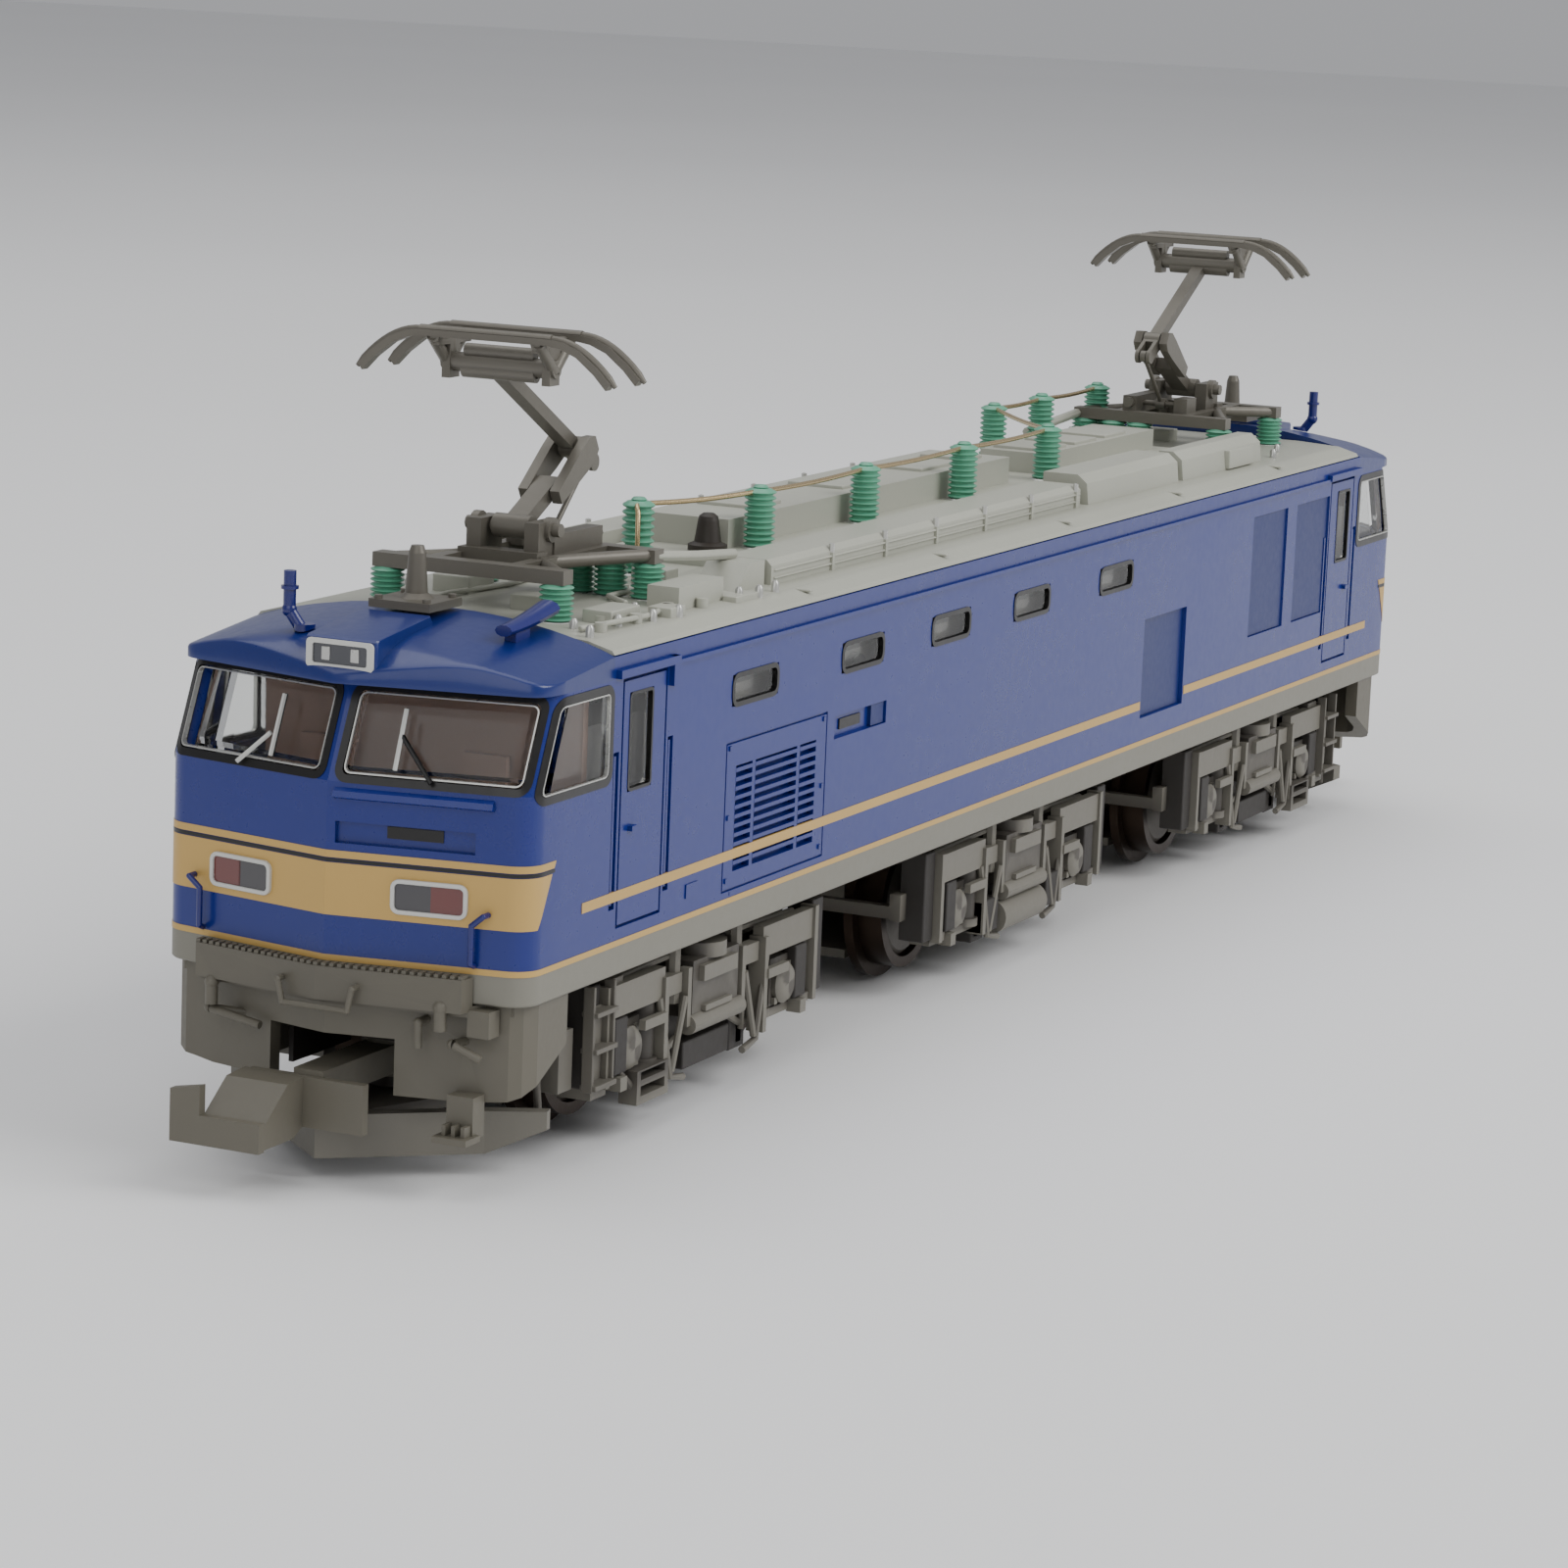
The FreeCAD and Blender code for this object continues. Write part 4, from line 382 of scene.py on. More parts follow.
def lathe(stock, profile, centre, axis="z", steps=24):
    """Profile of (radius, height) pairs revolved about an axis through the centre.

    At each turn the point lies radius times cosine and radius times sine from the axis, at its height.
    """
    profile = np.asarray(profile, float)
    angle = np.linspace(0, 2 * math.pi, steps, endpoint=False)
    ring = np.stack([np.outer(profile[:, 0], np.cos(angle)), np.outer(profile[:, 0], np.sin(angle)),
                     np.repeat(profile[:, 1:2], steps, 1)], -1)
    order = {"z": (0, 1, 2), "x": (2, 0, 1), "y": (1, 2, 0)}[axis]
    points = ring[..., list(order)] + np.asarray(centre, float)
    count = len(profile)
    faces = grid_faces(count, steps, False, True)
    faces.append(tuple(range(steps)))
    faces.append(tuple((count - 1) * steps + k for k in range(steps - 1, -1, -1)))
    stock.add(points.reshape(-1, 3), faces)


# ------------------------------------------------------------------ body

def copies(spots):
    """Near-side spots of the front half of the body with their half-turned copies."""
    return spots + [(a + 2 * HALF_RUN, b + 2 * HALF_RUN, *rest) for a, b, *rest in spots]


def four_ways(run0, run1):
    """The same stretch of run in all four quarters of the body."""
    spans = [(run0, run1), (2 * HALF_RUN - run1, 2 * HALF_RUN - run0)]
    return spans + [(a + 2 * HALF_RUN, b + 2 * HALF_RUN) for a, b in spans]


SCREEN = (nose_run(-0.42), nose_run(-9.4), 18.98, 23.05)
CAB_PANE = (side_run(-61.45), side_run(-54.45), 18.5, 22.95)
DOOR_PANE = (side_run(-52.6), side_run(-50.1), 17.7, 22.5)
WINDOW_X = (-38.75, -25.75, -14.15, -2.65, 10.35)


def openings():
    """Glazed holes of the whole body as run and height limits."""
    found = []
    for run0, run1, low, high in (SCREEN, CAB_PANE, DOOR_PANE):
        found += [(a, b, low, high) for a, b in four_ways(run0, run1)]
    for x in WINDOW_X:
        found.append((side_run(x - 2.65), side_run(x + 2.65), 20.3, 21.9))
        found.append((LOOP - side_run(x + 2.65), LOOP - side_run(x - 2.65), 20.3, 21.9))
    return found


def line_frame(run0, run1, low, high, width, depth):
    """Four shallow grooves round a rectangle."""
    return [(run0, run1, low, low + width, depth), (run0, run1, high - width, high, depth),
            (run0, run0 + width, low, high, depth), (run1 - width, run1, low, high, depth)]


def recesses():
    """Sunk panels, door lines and grooves of the body with their depths."""
    found = line_frame(side_run(-41.85), side_run(-29.9), 10.95, 18.55, 0.13, 0.12)
    for low, high in ((-40.65, -38.75), (-38.4, -33.5), (-33.15, -31.2)):
        found.append((side_run(low), side_run(high), 11.9, 17.25, 0.38))
    found.append((side_run(-29.0), side_run(-22.45), 16.95, 18.15, 0.3))
    found.append((side_run(15.45), side_run(22.55), 12.0, 18.0, 0.3))
    for low in (33.9, 42.1):
        found.append((side_run(low), side_run(low + 6.4), 14.7, 22.35, 0.22))
    for x in (-51.0, 51.0):
        found += line_frame(side_run(x - 2.35), side_run(x + 2.35), 11.2, 23.25, 0.16, 0.22)
        for rail in (x - 2.85, x + 2.85):
            found.append((side_run(rail - 0.28), side_run(rail + 0.28), 12.2, 19.8, 0.3))
    found.append((nose_run(-0.42), nose_run(-7.15), 15.92, 16.95, 0.3))
    found.append((side_run(-40.95), side_run(-40.85), 10.7, 10.9, 0.08))
    return copies(found)


def breaks(edges, start, end, longest):
    """Sorted grid lines through all the edges, filled in so that none are far apart."""
    marks = sorted({round(e, 4) for e in edges if start <= e <= end} | {start, end})
    lines = []
    for a, b in zip(marks[:-1], marks[1:]):
        count = max(1, int(math.ceil((b - a) / longest)))
        lines += [a + (b - a) * k / count for k in range(count)]
    return np.array(lines + [end])


EPS = 0.025     # width of the step at the edge of a recess


def wall_grid(stock, low, high, top_at, wall):
    """The painted wall of the body from low to high.

    Point (run, height) of the sheet lies on the body surface less the depth of the recess it falls in;
    cells inside a glazed opening, or above the top edge, are left out, and every edge of what remains
    is closed to a second sheet one wall thickness inside.
    """
    holes, sunk = openings(), recesses()
    runs = [0.0, HALF_RUN, 2 * HALF_RUN, 3 * HALF_RUN]
    for a, b in four_ways(0.0, FRONT_LEN):
        runs += [a, b]
    for a, _ in four_ways(ARC_START, ARC_END):
        runs += list(np.linspace(a, a + ARC_END - ARC_START, 11))
    for a, b, *_ in holes:
        runs += [a, b]
    for a, b, *_ in sunk:
        runs += [a, a + EPS, b - EPS, b]
    for a, b in four_ways(side_run(-ROOF_END), side_run(LEAN_END)):
        runs += [a, b]
    heights = [BELT_Z, BELT_Z + 0.01]
    for *_, a, b in holes:
        heights += [a, b]
    for _, _, a, b, _ in sunk:
        heights += [a, a + EPS, b - EPS, b]
    heights.append(top_at)
    run = breaks([r % LOOP for r in runs], 0.0, LOOP, 3.0)[:-1]
    height = breaks(heights, low, high, 1.2)
    grid_r, grid_h = np.meshgrid(run, height)
    depth = np.zeros_like(grid_r)
    for a, b, c, d, size in sunk:
        inside = (grid_r > a + EPS / 2) & (grid_r < b - EPS / 2)
        inside &= (grid_h > c + EPS / 2) & (grid_h < d - EPS / 2)
        depth = np.where(inside, np.maximum(depth, size), depth)
    count_h, count_r = grid_r.shape
    mid_r = (run + np.append(run[1:], LOOP)) / 2
    mid_h = (height[:-1] + height[1:]) / 2
    cell_r, cell_h = np.meshgrid(mid_r, mid_h)
    keep = np.ones(cell_r.shape, bool)
    for a, b, c, d in holes:
        keep &= ~((cell_r > a) & (cell_r < b) & (cell_h > c) & (cell_h < d))
    along = np.mod(cell_r, 2 * HALF_RUN)
    keep &= ~((cell_h > top_at) & ((along < side_run(-ROOF_END)) | (along > side_run(ROOF_END))))
    outer = on_skin(grid_r, grid_h, -depth).reshape(-1, 3)
    inner = on_skin(grid_r, grid_h, -wall).reshape(-1, 3)
    total = count_h * count_r

    def at(i, j):
        return i * count_r + j % count_r

    faces = []
    for i in range(count_h - 1):
        for j in range(count_r):
            if not keep[i, j]:
                continue
            a, b, c, d = at(i, j), at(i, j + 1), at(i + 1, j + 1), at(i + 1, j)
            faces.append((a, b, c, d))
            faces.append((d + total, c + total, b + total, a + total))
            if i == 0 or not keep[i - 1, j]:
                faces.append((b, a, a + total, b + total))
            if i == count_h - 2 or not keep[i + 1, j]:
                faces.append((d, c, c + total, d + total))
            if not keep[i, j - 1]:
                faces.append((a, d, d + total, a + total))
            if not keep[i, (j + 1) % count_r]:
                faces.append((c, b, b + total, c + total))
    used = np.unique(np.array(faces))
    renumber = np.full(2 * total, -1)
    renumber[used] = np.arange(len(used))
    stock.add(np.concatenate([outer, inner])[used], [tuple(renumber[list(face)]) for face in faces])


def belt(stock, section):
    """A closed section of (outwards, height) points swept round the whole body."""
    runs = [0.0, 2 * HALF_RUN]
    for a, _ in four_ways(ARC_START, ARC_END):
        runs += list(np.linspace(a, a + ARC_END - ARC_START, 11))
    run = breaks([r % LOOP for r in runs], 0.0, LOOP, 4.0)[:-1]
    section = np.asarray(section, float)
    points = on_skin(run[:, None], section[None, :, 1], section[None, :, 0])
    stock.add(points.reshape(-1, 3), grid_faces(len(run), len(section), True, True))


def strip_on_skin(stock, run0, run1, low, high, out, inn, slant0=0.0, slant1=0.0, rows=2, longest=0.8):
    """A thin closed strip that follows the body between two ends.

    At share u along and v up, the run is the start's run plus its slant times v, plus u times the
    distance to the end's run with its own slant times v; the height rises from low to high with v.
    """
    count = max(2, int(math.ceil(abs(run1 - run0) / longest)) + 1)
    u, v = np.meshgrid(np.linspace(0, 1, count), np.linspace(0, 1, rows))
    height = low + (high - low) * v
    begin, finish = run0 + slant0 * v, run1 + slant1 * v
    run = begin + (finish - begin) * u
    sheets = [on_skin(run, height, off).reshape(-1, 3) for off in (out, inn)]
    stock.add(np.concatenate(sheets), sheet_pair(rows, count))


def side_strip(stock, shift, x0, x1, *rest, **more):
    """A strip on the side wall from one place to another along the locomotive."""
    strip_on_skin(stock, side_run(x0) + shift, side_run(x1) + shift, *rest, **more)


def make_walls():
    """Painted walls, grey sill band, gold lines and the thin dark line of the front."""
    stock = Stock()
    wall_grid(stock, 10.6, EAVE_Z, 23.3, 0.8)
    piece("body_walls", stock, BODY_BLUE, soft=14, stands_for=("body_shell",))
    stock = Stock()
    belt(stock, [(0.0, 8.98), (0.0, 10.36), (-0.8, 10.36), (-0.8, 8.9), (-0.08, 8.9)])
    piece("body_sill", stock, SILL_GREY, soft=20, stands_for=("body_shell",))
    stock = Stock()
    belt(stock, [(0.03, 10.33), (0.03, 10.62), (-0.3, 10.62), (-0.3, 10.33)])
    for shift in (0.0, 2 * HALF_RUN):
        for low, high in ((-56.9, 15.3), (22.7, 57.3)):
            side_strip(stock, shift, low, high, 12.55, 13.05, 0.03, -0.1, longest=6)
        for sign in (1, -1):
            end = side_run(-61.2) * sign
            lean = 1.2 * sign
            strip_on_skin(stock, shift, shift + end, 12.5, 14.98, 0.03, -0.1, 0, lean, rows=25,
                          longest=0.12)
            strip_on_skin(stock, shift, shift + end + 1.15 * lean, 15.22, 15.56, 0.03, -0.1, 0, 0.15 * lean,
                          rows=5, longest=0.12)
    piece("gold_lines", stock, GOLD, soft=25)
    stock = Stock()
    for shift in (0.0, 2 * HALF_RUN):
        for sign in (1, -1):
            end = (side_run(-61.2) + 1.45) * sign
            strip_on_skin(stock, shift, shift + end, 15.02, 15.18, 0.03, -0.1, longest=0.12)
    piece("front_pinstripes", stock, BLACK_TRIM, soft=25)


def make_window_frames():
    """Dark rubbers round every window and a bright edge inside the cab windows."""
    stock = Stock()
    for a, b, low, high in openings()[12:]:
        ring_on_skin(stock, a + 0.22, b - 0.22, low + 0.2, high - 0.2, 0.26, 0.35, 0.05, -0.75)
    for run0, run1, low, high, wide in ((*SCREEN, 0.16), (*CAB_PANE, 0.2)):
        for a, b in four_ways(run0, run1):
            ring_on_skin(stock, a + wide, b - wide, low + wide, high - wide, wide + 0.2, 0.3, 0.04, -0.3)
    for a, b in four_ways(*DOOR_PANE[:2]):
        ring_on_skin(stock, a + 0.16, b - 0.16, 17.86, 22.34, 0.16, 0.15, 0.03, -0.4)
    piece("window_rubbers", stock, BLACK_TRIM, soft=40)
    stock = Stock()
    for run0, run1, low, high in (SCREEN, CAB_PANE):
        for a, b in four_ways(run0, run1):
            ring_on_skin(stock, a + 0.29, b - 0.29, low + 0.29, high - 0.29, 0.07, 0.28, 0.045, -0.2)
    piece("window_bright_edges", stock, SILVER_TRIM, soft=40)


def make_side_details():
    """Louvre slats, vents, door rails, rain strips, handles, slots and ledges."""
    stock, vents = Stock(), Stock()
    for shift in (0.0, 2 * HALF_RUN):
        for low, high in ((-40.65, -38.75), (-38.4, -33.5), (-33.15, -31.2)):
            for line in range(11):
                z = 12.22 + line * 0.47
                side_strip(stock, shift, low, high, z, z + 0.2, 0.01, -0.4, longest=9)
        # Sheets of the darker blue in the sunk vents: painted shade.
        for low in (33.9, 42.1):
            side_strip(vents, shift, low + 0.05, low + 6.35, 14.75, 22.3, -0.12, -0.3,
                          rows=3, longest=3)
        for x in (-53.85, -48.15, 48.15, 53.85):
            side_strip(stock, shift, x - 0.1, x + 0.1, 12.4, 19.6, -0.06, -0.26)
        side_strip(stock, shift, -48, 48, 23.3, 23.5, 0.22, -0.1, longest=8)
        side_strip(stock, shift, -54.1, -47.9, 23.35, 23.75, 0.3, -0.1, longest=8)
        side_strip(stock, shift, 47.9, 54.1, 23.35, 23.75, 0.3, -0.1, longest=8)
        side_strip(stock, shift, -48.45, -47.75, 22.3, 23.75, 0.26, -0.1)
        side_strip(stock, shift, -45.9, -44.6, 11.4, 12.1, 0.06, -0.1)
        for x in (-52.2, 52.2):
            side_strip(stock, shift, x - 0.2, x + 0.35, 15.8, 16.05, 0.25, -0.1)
        for x in (-41.4, -30.35):
            for z in (11.4, 14.6, 18.1):
                side_strip(stock, shift, x - 0.12, x + 0.12, z, z + 0.24, 0.07, -0.1)
    piece("side_louvres", stock, BODY_BLUE, soft=30)
    piece("side_vents", vents, SHADE_BLUE, soft=30)
    stock = Stock()
    for shift in (0.0, 2 * HALF_RUN):
        side_strip(stock, shift, -27.9, -25.3, 17.3, 17.85, -0.22, -0.5)
        strip_on_skin(stock, nose_run(-2.85) + shift, nose_run(-5.55) + shift, 16.3, 16.85, -0.24, -0.5)
    piece("dark_slots", stock, BLACK_TRIM, soft=30)
    stock = Stock()
    # Sheets of the darker blue in the sunk intake panel and a small sunk panel: painted shade.
    for shift in (0.0, 2 * HALF_RUN):
        side_strip(stock, shift, 15.5, 22.5, 12.05, 17.95, -0.25, -0.5, longest=4)
        side_strip(stock, shift, -24.2, -22.6, 17.0, 18.1, -0.1, -0.4)
    piece("shaded_panels", stock, SHADE_BLUE, soft=30)
    stock = Stock()
    for shift in (0.0, 2 * HALF_RUN):
        u, v = np.meshgrid(np.linspace(nose_run(-0.35), nose_run(-8.0), 12), np.linspace(0, 1, 5))
        height = 18.0 + 0.55 * v
        out = np.where((v > 0.05) & (v < 0.95), 0.42 - 0.25 * v, 0.0)
        sheet = on_skin(u + shift, height, out).reshape(-1, 3)
        back = on_skin(u + shift, height, -0.2).reshape(-1, 3)
        stock.add(np.concatenate([sheet, back]), sheet_pair(5, 12))
    piece("front_ledges", stock, BODY_BLUE, soft=30)


def make_lamps():
    """White frames and two-coloured lenses of the lower front lamps."""
    white, dark, red = Stock(), Stock(), Stock()
    for shift in (0.0, 2 * HALF_RUN):
        for sign in (1, -1):
            a, b = sorted((sign * 3.45, sign * 6.8))
            a, b = a + shift, b + shift
            ring_on_skin(white, a, b, 13.05, 14.3, 0.2, 0.22, 0.22, -0.1)
            split = a + 1.75 if sign > 0 else b - 1.75
            near, far = ((a, split), (split, b)) if sign > 0 else ((split, b), (a, split))
            strip_on_skin(dark, near[0] - 0.05, near[1], 13.0, 14.35, 0.09, -0.2, rows=3)
            strip_on_skin(red, far[0], far[1] + 0.05, 13.0, 14.35, 0.09, -0.2, rows=3)
    piece("lamp_frames", white, WHITE_TRIM, soft=40, bevel=0.04)
    piece("lamp_lenses_grey", dark, LENS_DARK, soft=40, stands_for=("lamp_lenses",))
    piece("lamp_lenses_red", red, LENS_RED, soft=40)


def turned_end(points, sign):
    """Copy of front points at the rear, turned half way round the upright axis."""
    points = np.asarray(points, float)
    return points * np.array([sign, sign, 1.0])


def vault_top(x, y):
    """Height of the cab roof.

    An arch across that drops slowly towards the front meets the slope of the front; the lower of the
    two is the roof, with a smooth change over 0.8 mm of their difference.
    """
    arch_y = np.array([0, 2.4, 4.6, 6.6, 8.2, 9.3, 9.85])
    arch_z = np.array([26.0, 25.9, 25.66, 25.32, 24.95, 24.62, 24.4])
    arch = np.interp(np.abs(y), arch_y, arch_z) - 1.15 * np.clip(-ROOF_END - x, 0, 12) / 11.0
    side_x = np.array([-66.0, -63.4, -62.6, -61.4, -59.8, -58.0, -56.4, -54.3])
    side_z = np.array([23.65, 23.72, 24.25, 24.9, 25.45, 25.8, 25.95, 26.0])
    slope = np.interp(x, side_x, side_z)
    gap = np.clip(0.5 + (arch - slope) / 0.8, 0, 1)
    return arch + (slope - arch) * gap - 0.4 * gap * (1 - gap)


def make_cab_roofs():
    """Vault over each cab with a rounded eave lip, and the housing of the upper lamp."""
    for name, sign in (("front", 1), ("rear", -1)):
        stock = Stock()
        across = np.sin(np.linspace(-1, 1, 41) * math.pi / 2)
        y = across * 9.85
        edge_y = np.array([0, 8.95, 9.5, 9.75, 9.85])
        edge_x = np.array([-63.45, -61.3, -60.95, -60.3, -59.4])
        start = np.interp(np.abs(y), edge_y, edge_x)
        u = np.concatenate([[0.0, 0.012, 0.03], np.linspace(0.06, 1, 30)])
        x = start[None, :] + (-ROOF_END - start[None, :]) * u[:, None]
        spread = np.repeat(y[None, :], len(u), 0)
        top = vault_top(x, spread)
        lip = np.clip(1 - u[:, None] / 0.03, 0, 1)
        top = top - 0.1 * lip ** 2
        sheets = np.stack([x, spread, top], -1).reshape(-1, 3)
        under = np.stack([x, spread, np.full_like(x, 23.3)], -1).reshape(-1, 3)
        stock.add(turned_end(np.concatenate([sheets, under]), sign), sheet_pair(len(u), len(y)))
        piece("cab_roof_" + name, stock, ROOF_BLUE, soft=50, stands_for=("body_shell",))
        stock = Stock()
        side = np.array([(-62.87, 23.6), (-62.87, 25.28), (-62.75, 25.38), (-60.5, 25.66), (-57.8, 25.97),
                         (-57.5, 25.6), (-57.5, 23.6)])
        rows_y = np.array([-1.9, -1.82, 1.82, 1.9])
        inset = np.array([0.06, 0.0, 0.0, 0.06])
        rings = []
        for yy, shrink in zip(rows_y, inset):
            centre = side.mean(0)
            shape = centre + (side - centre) * (1 - shrink / 1.2)
            rings.append(np.column_stack([shape[:, 0], np.full(len(side), yy), shape[:, 1]]))
        count = len(side)
        faces = grid_faces(4, count, False, True)
        faces += [tuple(range(count)), tuple(3 * count + k for k in range(count))]
        stock.add(turned_end(np.concatenate(rings), sign), faces)
        piece("head_lamp_housing_" + name, stock, ROOF_BLUE, soft=30)
        stock = Stock()
        outer = round_corners(-1.78, 1.78, 23.87, 25.25, 0.22)
        inner = round_corners(-1.45, 1.45, 24.1, 25.03, 0.12)
        loops = []
        for loop, x_at in ((outer, -62.8), (outer, -63.0), (inner, -63.0), (inner, -62.8)):
            loops.append(np.column_stack([np.full(len(loop), x_at), loop]))
        stock.add(turned_end(np.concatenate(loops), sign), grid_faces(4, len(outer), True, True))
        piece("head_lamp_frame_" + name, stock, WHITE_TRIM, soft=40)
        stock = Stock()
        turned_box(stock, (-62.9, -1.46, 24.09), (-62.7, 1.46, 25.04), sign, sign)
        piece("head_lamp_glass_" + name, stock, LENS_CLEAR)
        stock = Stock()
        for y0 in (-1.0, 0.55):
            turned_box(stock, (-62.96, y0, 24.25), (-62.88, y0 + 0.45, 24.9), sign, sign)
        piece("head_lamp_bulbs_" + name, stock, SILVER_TRIM, bevel=0.05)


def make_wipers():
    """Each windscreen has one wiper: an upright blade and a slanting arm from the sill. A bright tube along
    the outer side of each blade and the bright arm of one of the two wipers are painted highlight; the rest
    is dark.
    """
    bright, dark = Stock(), Stock()
    for sign in (1, -1):
        for blade, arm in ((((-3.05, 22.25), (-3.15, 19.55)), ((-3.1, 21.1), (-5.0, 19.1))),
                           (((3.4, 22.25), (3.4, 19.5)), ((3.7, 20.5), (5.3, 19.0)))):
            # The bright stock is painted highlight: the outer tube of each blade and the arm of one wiper,
            # while the other arm stays dark.
            for stock, line, size, lift in ((bright, blade, 0.12, 0.32), (dark, blade, 0.1, 0.2),
                                            (bright if blade[0][0] > 0 else dark, arm, 0.12, 0.3)):
                share = np.linspace(0, 1, 6)
                y = line[0][0] + (line[1][0] - line[0][0]) * share
                z = line[0][1] + (line[1][1] - line[0][1]) * share
                path = on_skin(np.mod(nose_run(y), LOOP), z, lift)
                tube(stock, turned_end(path, sign), size, 6)
    piece("wiper_highlights", bright, WHITE_TRIM, soft=50)
    piece("wiper_arms", dark, BLACK_TRIM, soft=50)


def make_horns():
    """Thin scoop on a narrow foot over each cab: a blade that widens and lifts at its open end."""
    stock = Stock()
    for sign in (1, -1):
        share = np.linspace(0, 1, 7)
        path = np.column_stack([-58.1 + 4.4 * share, np.full(7, -5.9), 25.7 + 0.6 * share ** 1.5])
        tube(stock, path * [sign, sign, 1], 0.45 + 0.2 * share, 10, flat=0.62)
        turned_box(stock, (-57.4, -6.2, 24.9), (-56.0, -5.6, 25.9), sign, sign)
    piece("horn_scoops", stock, DEEP_BLUE, soft=50, stands_for=("horn_covers",))


# ------------------------------------------------------------------ roof

BUS_FEET = [(-33.2, -0.2, 25.15), (-23.9, -2.7, 25.75), (-10.4, -2.7, 25.75), (3.4, -2.7, 25.75),
            (16.2, -2.7, 25.75), (25.2, 4.6, 25.75), (33.0, 4.6, 25.75), (42.6, 4.6, 25.75)]
BASE_FEET = [(-50.5, 4.65), (-50.5, -4.65), (-40.8, 4.65), (-40.8, -4.65), (-40.8, -2.6), (-40.8, -0.8)]


def ribbed_post(stock, pads, x, y, low, high, sheds):
    """A post of close rounded sheds with a cap, on a small bright pad."""
    profile = [(0.45, low), (0.7, low + 0.02)]
    step = (high - low - 0.1) / sheds
    for k in range(sheds):
        z = low + 0.05 + k * step
        for share, size in ((0.1, 0.66), (0.3, 0.8), (0.5, 0.86), (0.7, 0.8), (0.9, 0.66)):
            profile.append((size, z + share * step))
    profile += [(0.62, high - 0.04), (0.45, high), (0.02, high + 0.02)]
    lathe(stock, profile, (x, y, 0), steps=20)
    lathe(pads, [(0.95, low - 0.1), (0.98, low), (0.9, low + 0.08), (0.02, low + 0.1)], (x, y, 0), steps=16)


def make_insulators():
    """Green ribbed posts with feet and caps, and the bus wire that sags between them."""
    posts, pads, caps = Stock(), Stock(), Stock()
    for x, y, z in BUS_FEET:
        ribbed_post(posts, pads, x, y, z, 28.95, 10)
        lathe(caps, [(0.3, 28.9), (0.42, 29.0), (0.3, 29.12), (0.02, 29.15)], (x, y, 0), steps=12)
        for dx, dy in ((-1.0, -0.5), (1.0, -0.5)):
            lathe(pads, [(0.2, z - 0.05), (0.2, z + 0.2), (0.02, z + 0.25)], (x + dx, y + dy, 0), steps=8)
    for x, y in BASE_FEET:
        for sign in (1, -1):
            ribbed_post(posts, pads, x * sign, y * sign, 25.1, 26.97, 7)
    piece("green_insulators", posts, GREEN, soft=50, stands_for=("roof_insulators",))
    piece("insulator_feet", pads, SILVER_TRIM, soft=40)
    piece("insulator_caps", caps, GREEN, soft=50)
    stock = Stock()
    tube(stock, [(-33.3, -0.2, 28.77), (-34.0, -0.5, 28.75), (-34.25, -0.7, 28.4), (-34.3, -0.75, 26.6),
                 (-34.3, -0.75, 25.2)], 0.13, 8)
    for (x0, y0, _), (x1, y1, _) in zip(BUS_FEET[:-1], BUS_FEET[1:]):
        share = np.linspace(0, 1, 9)
        sag = 28.77 - 0.12 * np.sin(share * math.pi)
        tube(stock, np.column_stack([x0 + (x1 - x0) * share, y0 + (y1 - y0) * share, sag]), 0.14, 8)
    piece("bus_wires", stock, COPPER, soft=60, stands_for=("bus_wire",))


PIN_SPOTS = [(-53.2, -7.9), (-51.8, -6.3), (-49.3, -7.4), (-48.2, -5.9), (-46.6, -7.9), (-45.2, -6.2),
             (-44.4, -8.2), (-36.8, -7.8), (-35.5, -8.3), (-33.4, -8.2), (-47.0, 6.5), (-44.0, 7.3)]
ROOF_BOXES = [((-49.6, -7.2, 25.0), (-46.6, -5.6, 25.75)), ((-45.2, -8.2, 24.7), (-43.6, -6.9, 25.5)),
              ((-38.3, -8.4, 24.6), (-35.8, -7.6, 25.3)), ((-48.4, -3.4, 25.1), (-46.9, -1.0, 25.9)),
              ((-45.4, 2.9, 25.1), (-42.8, 5.0, 26.0)), ((-36.6, -3.6, 25.1), (-35.2, -1.6, 26.0)),
              ((-39.4, 5.4, 25.1), (-35.0, 7.6, 26.3))]
CABLES = [([(-52.5, -7.0, 25.25), (-50.2, -7.6, 25.35), (-47.0, -7.75, 25.3), (-44.5, -7.4, 25.3)], 0.16),
          ([(-52.5, 3.0, 25.3), (-47.0, 3.2, 25.35), (-42.0, 2.6, 25.3), (-37.0, 2.9, 25.3)], 0.16),
          ([(-43.8, -5.0, 25.3), (-42.6, -3.4, 25.35), (-38.2, -3.3, 25.35), (-36.0, -4.4, 25.3)], 0.16),
          ([(-40.8, -5.0, 27.3), (-36.5, -5.3, 26.9), (-32.6, -5.4, 26.6)], 0.3)]
HATCHES = [(-20.5, 3.5, 3.4), (-9.0, 4.2, 3.4), (2.0, 4.2, 3.4), (9.0, 2.4, 3.0)]


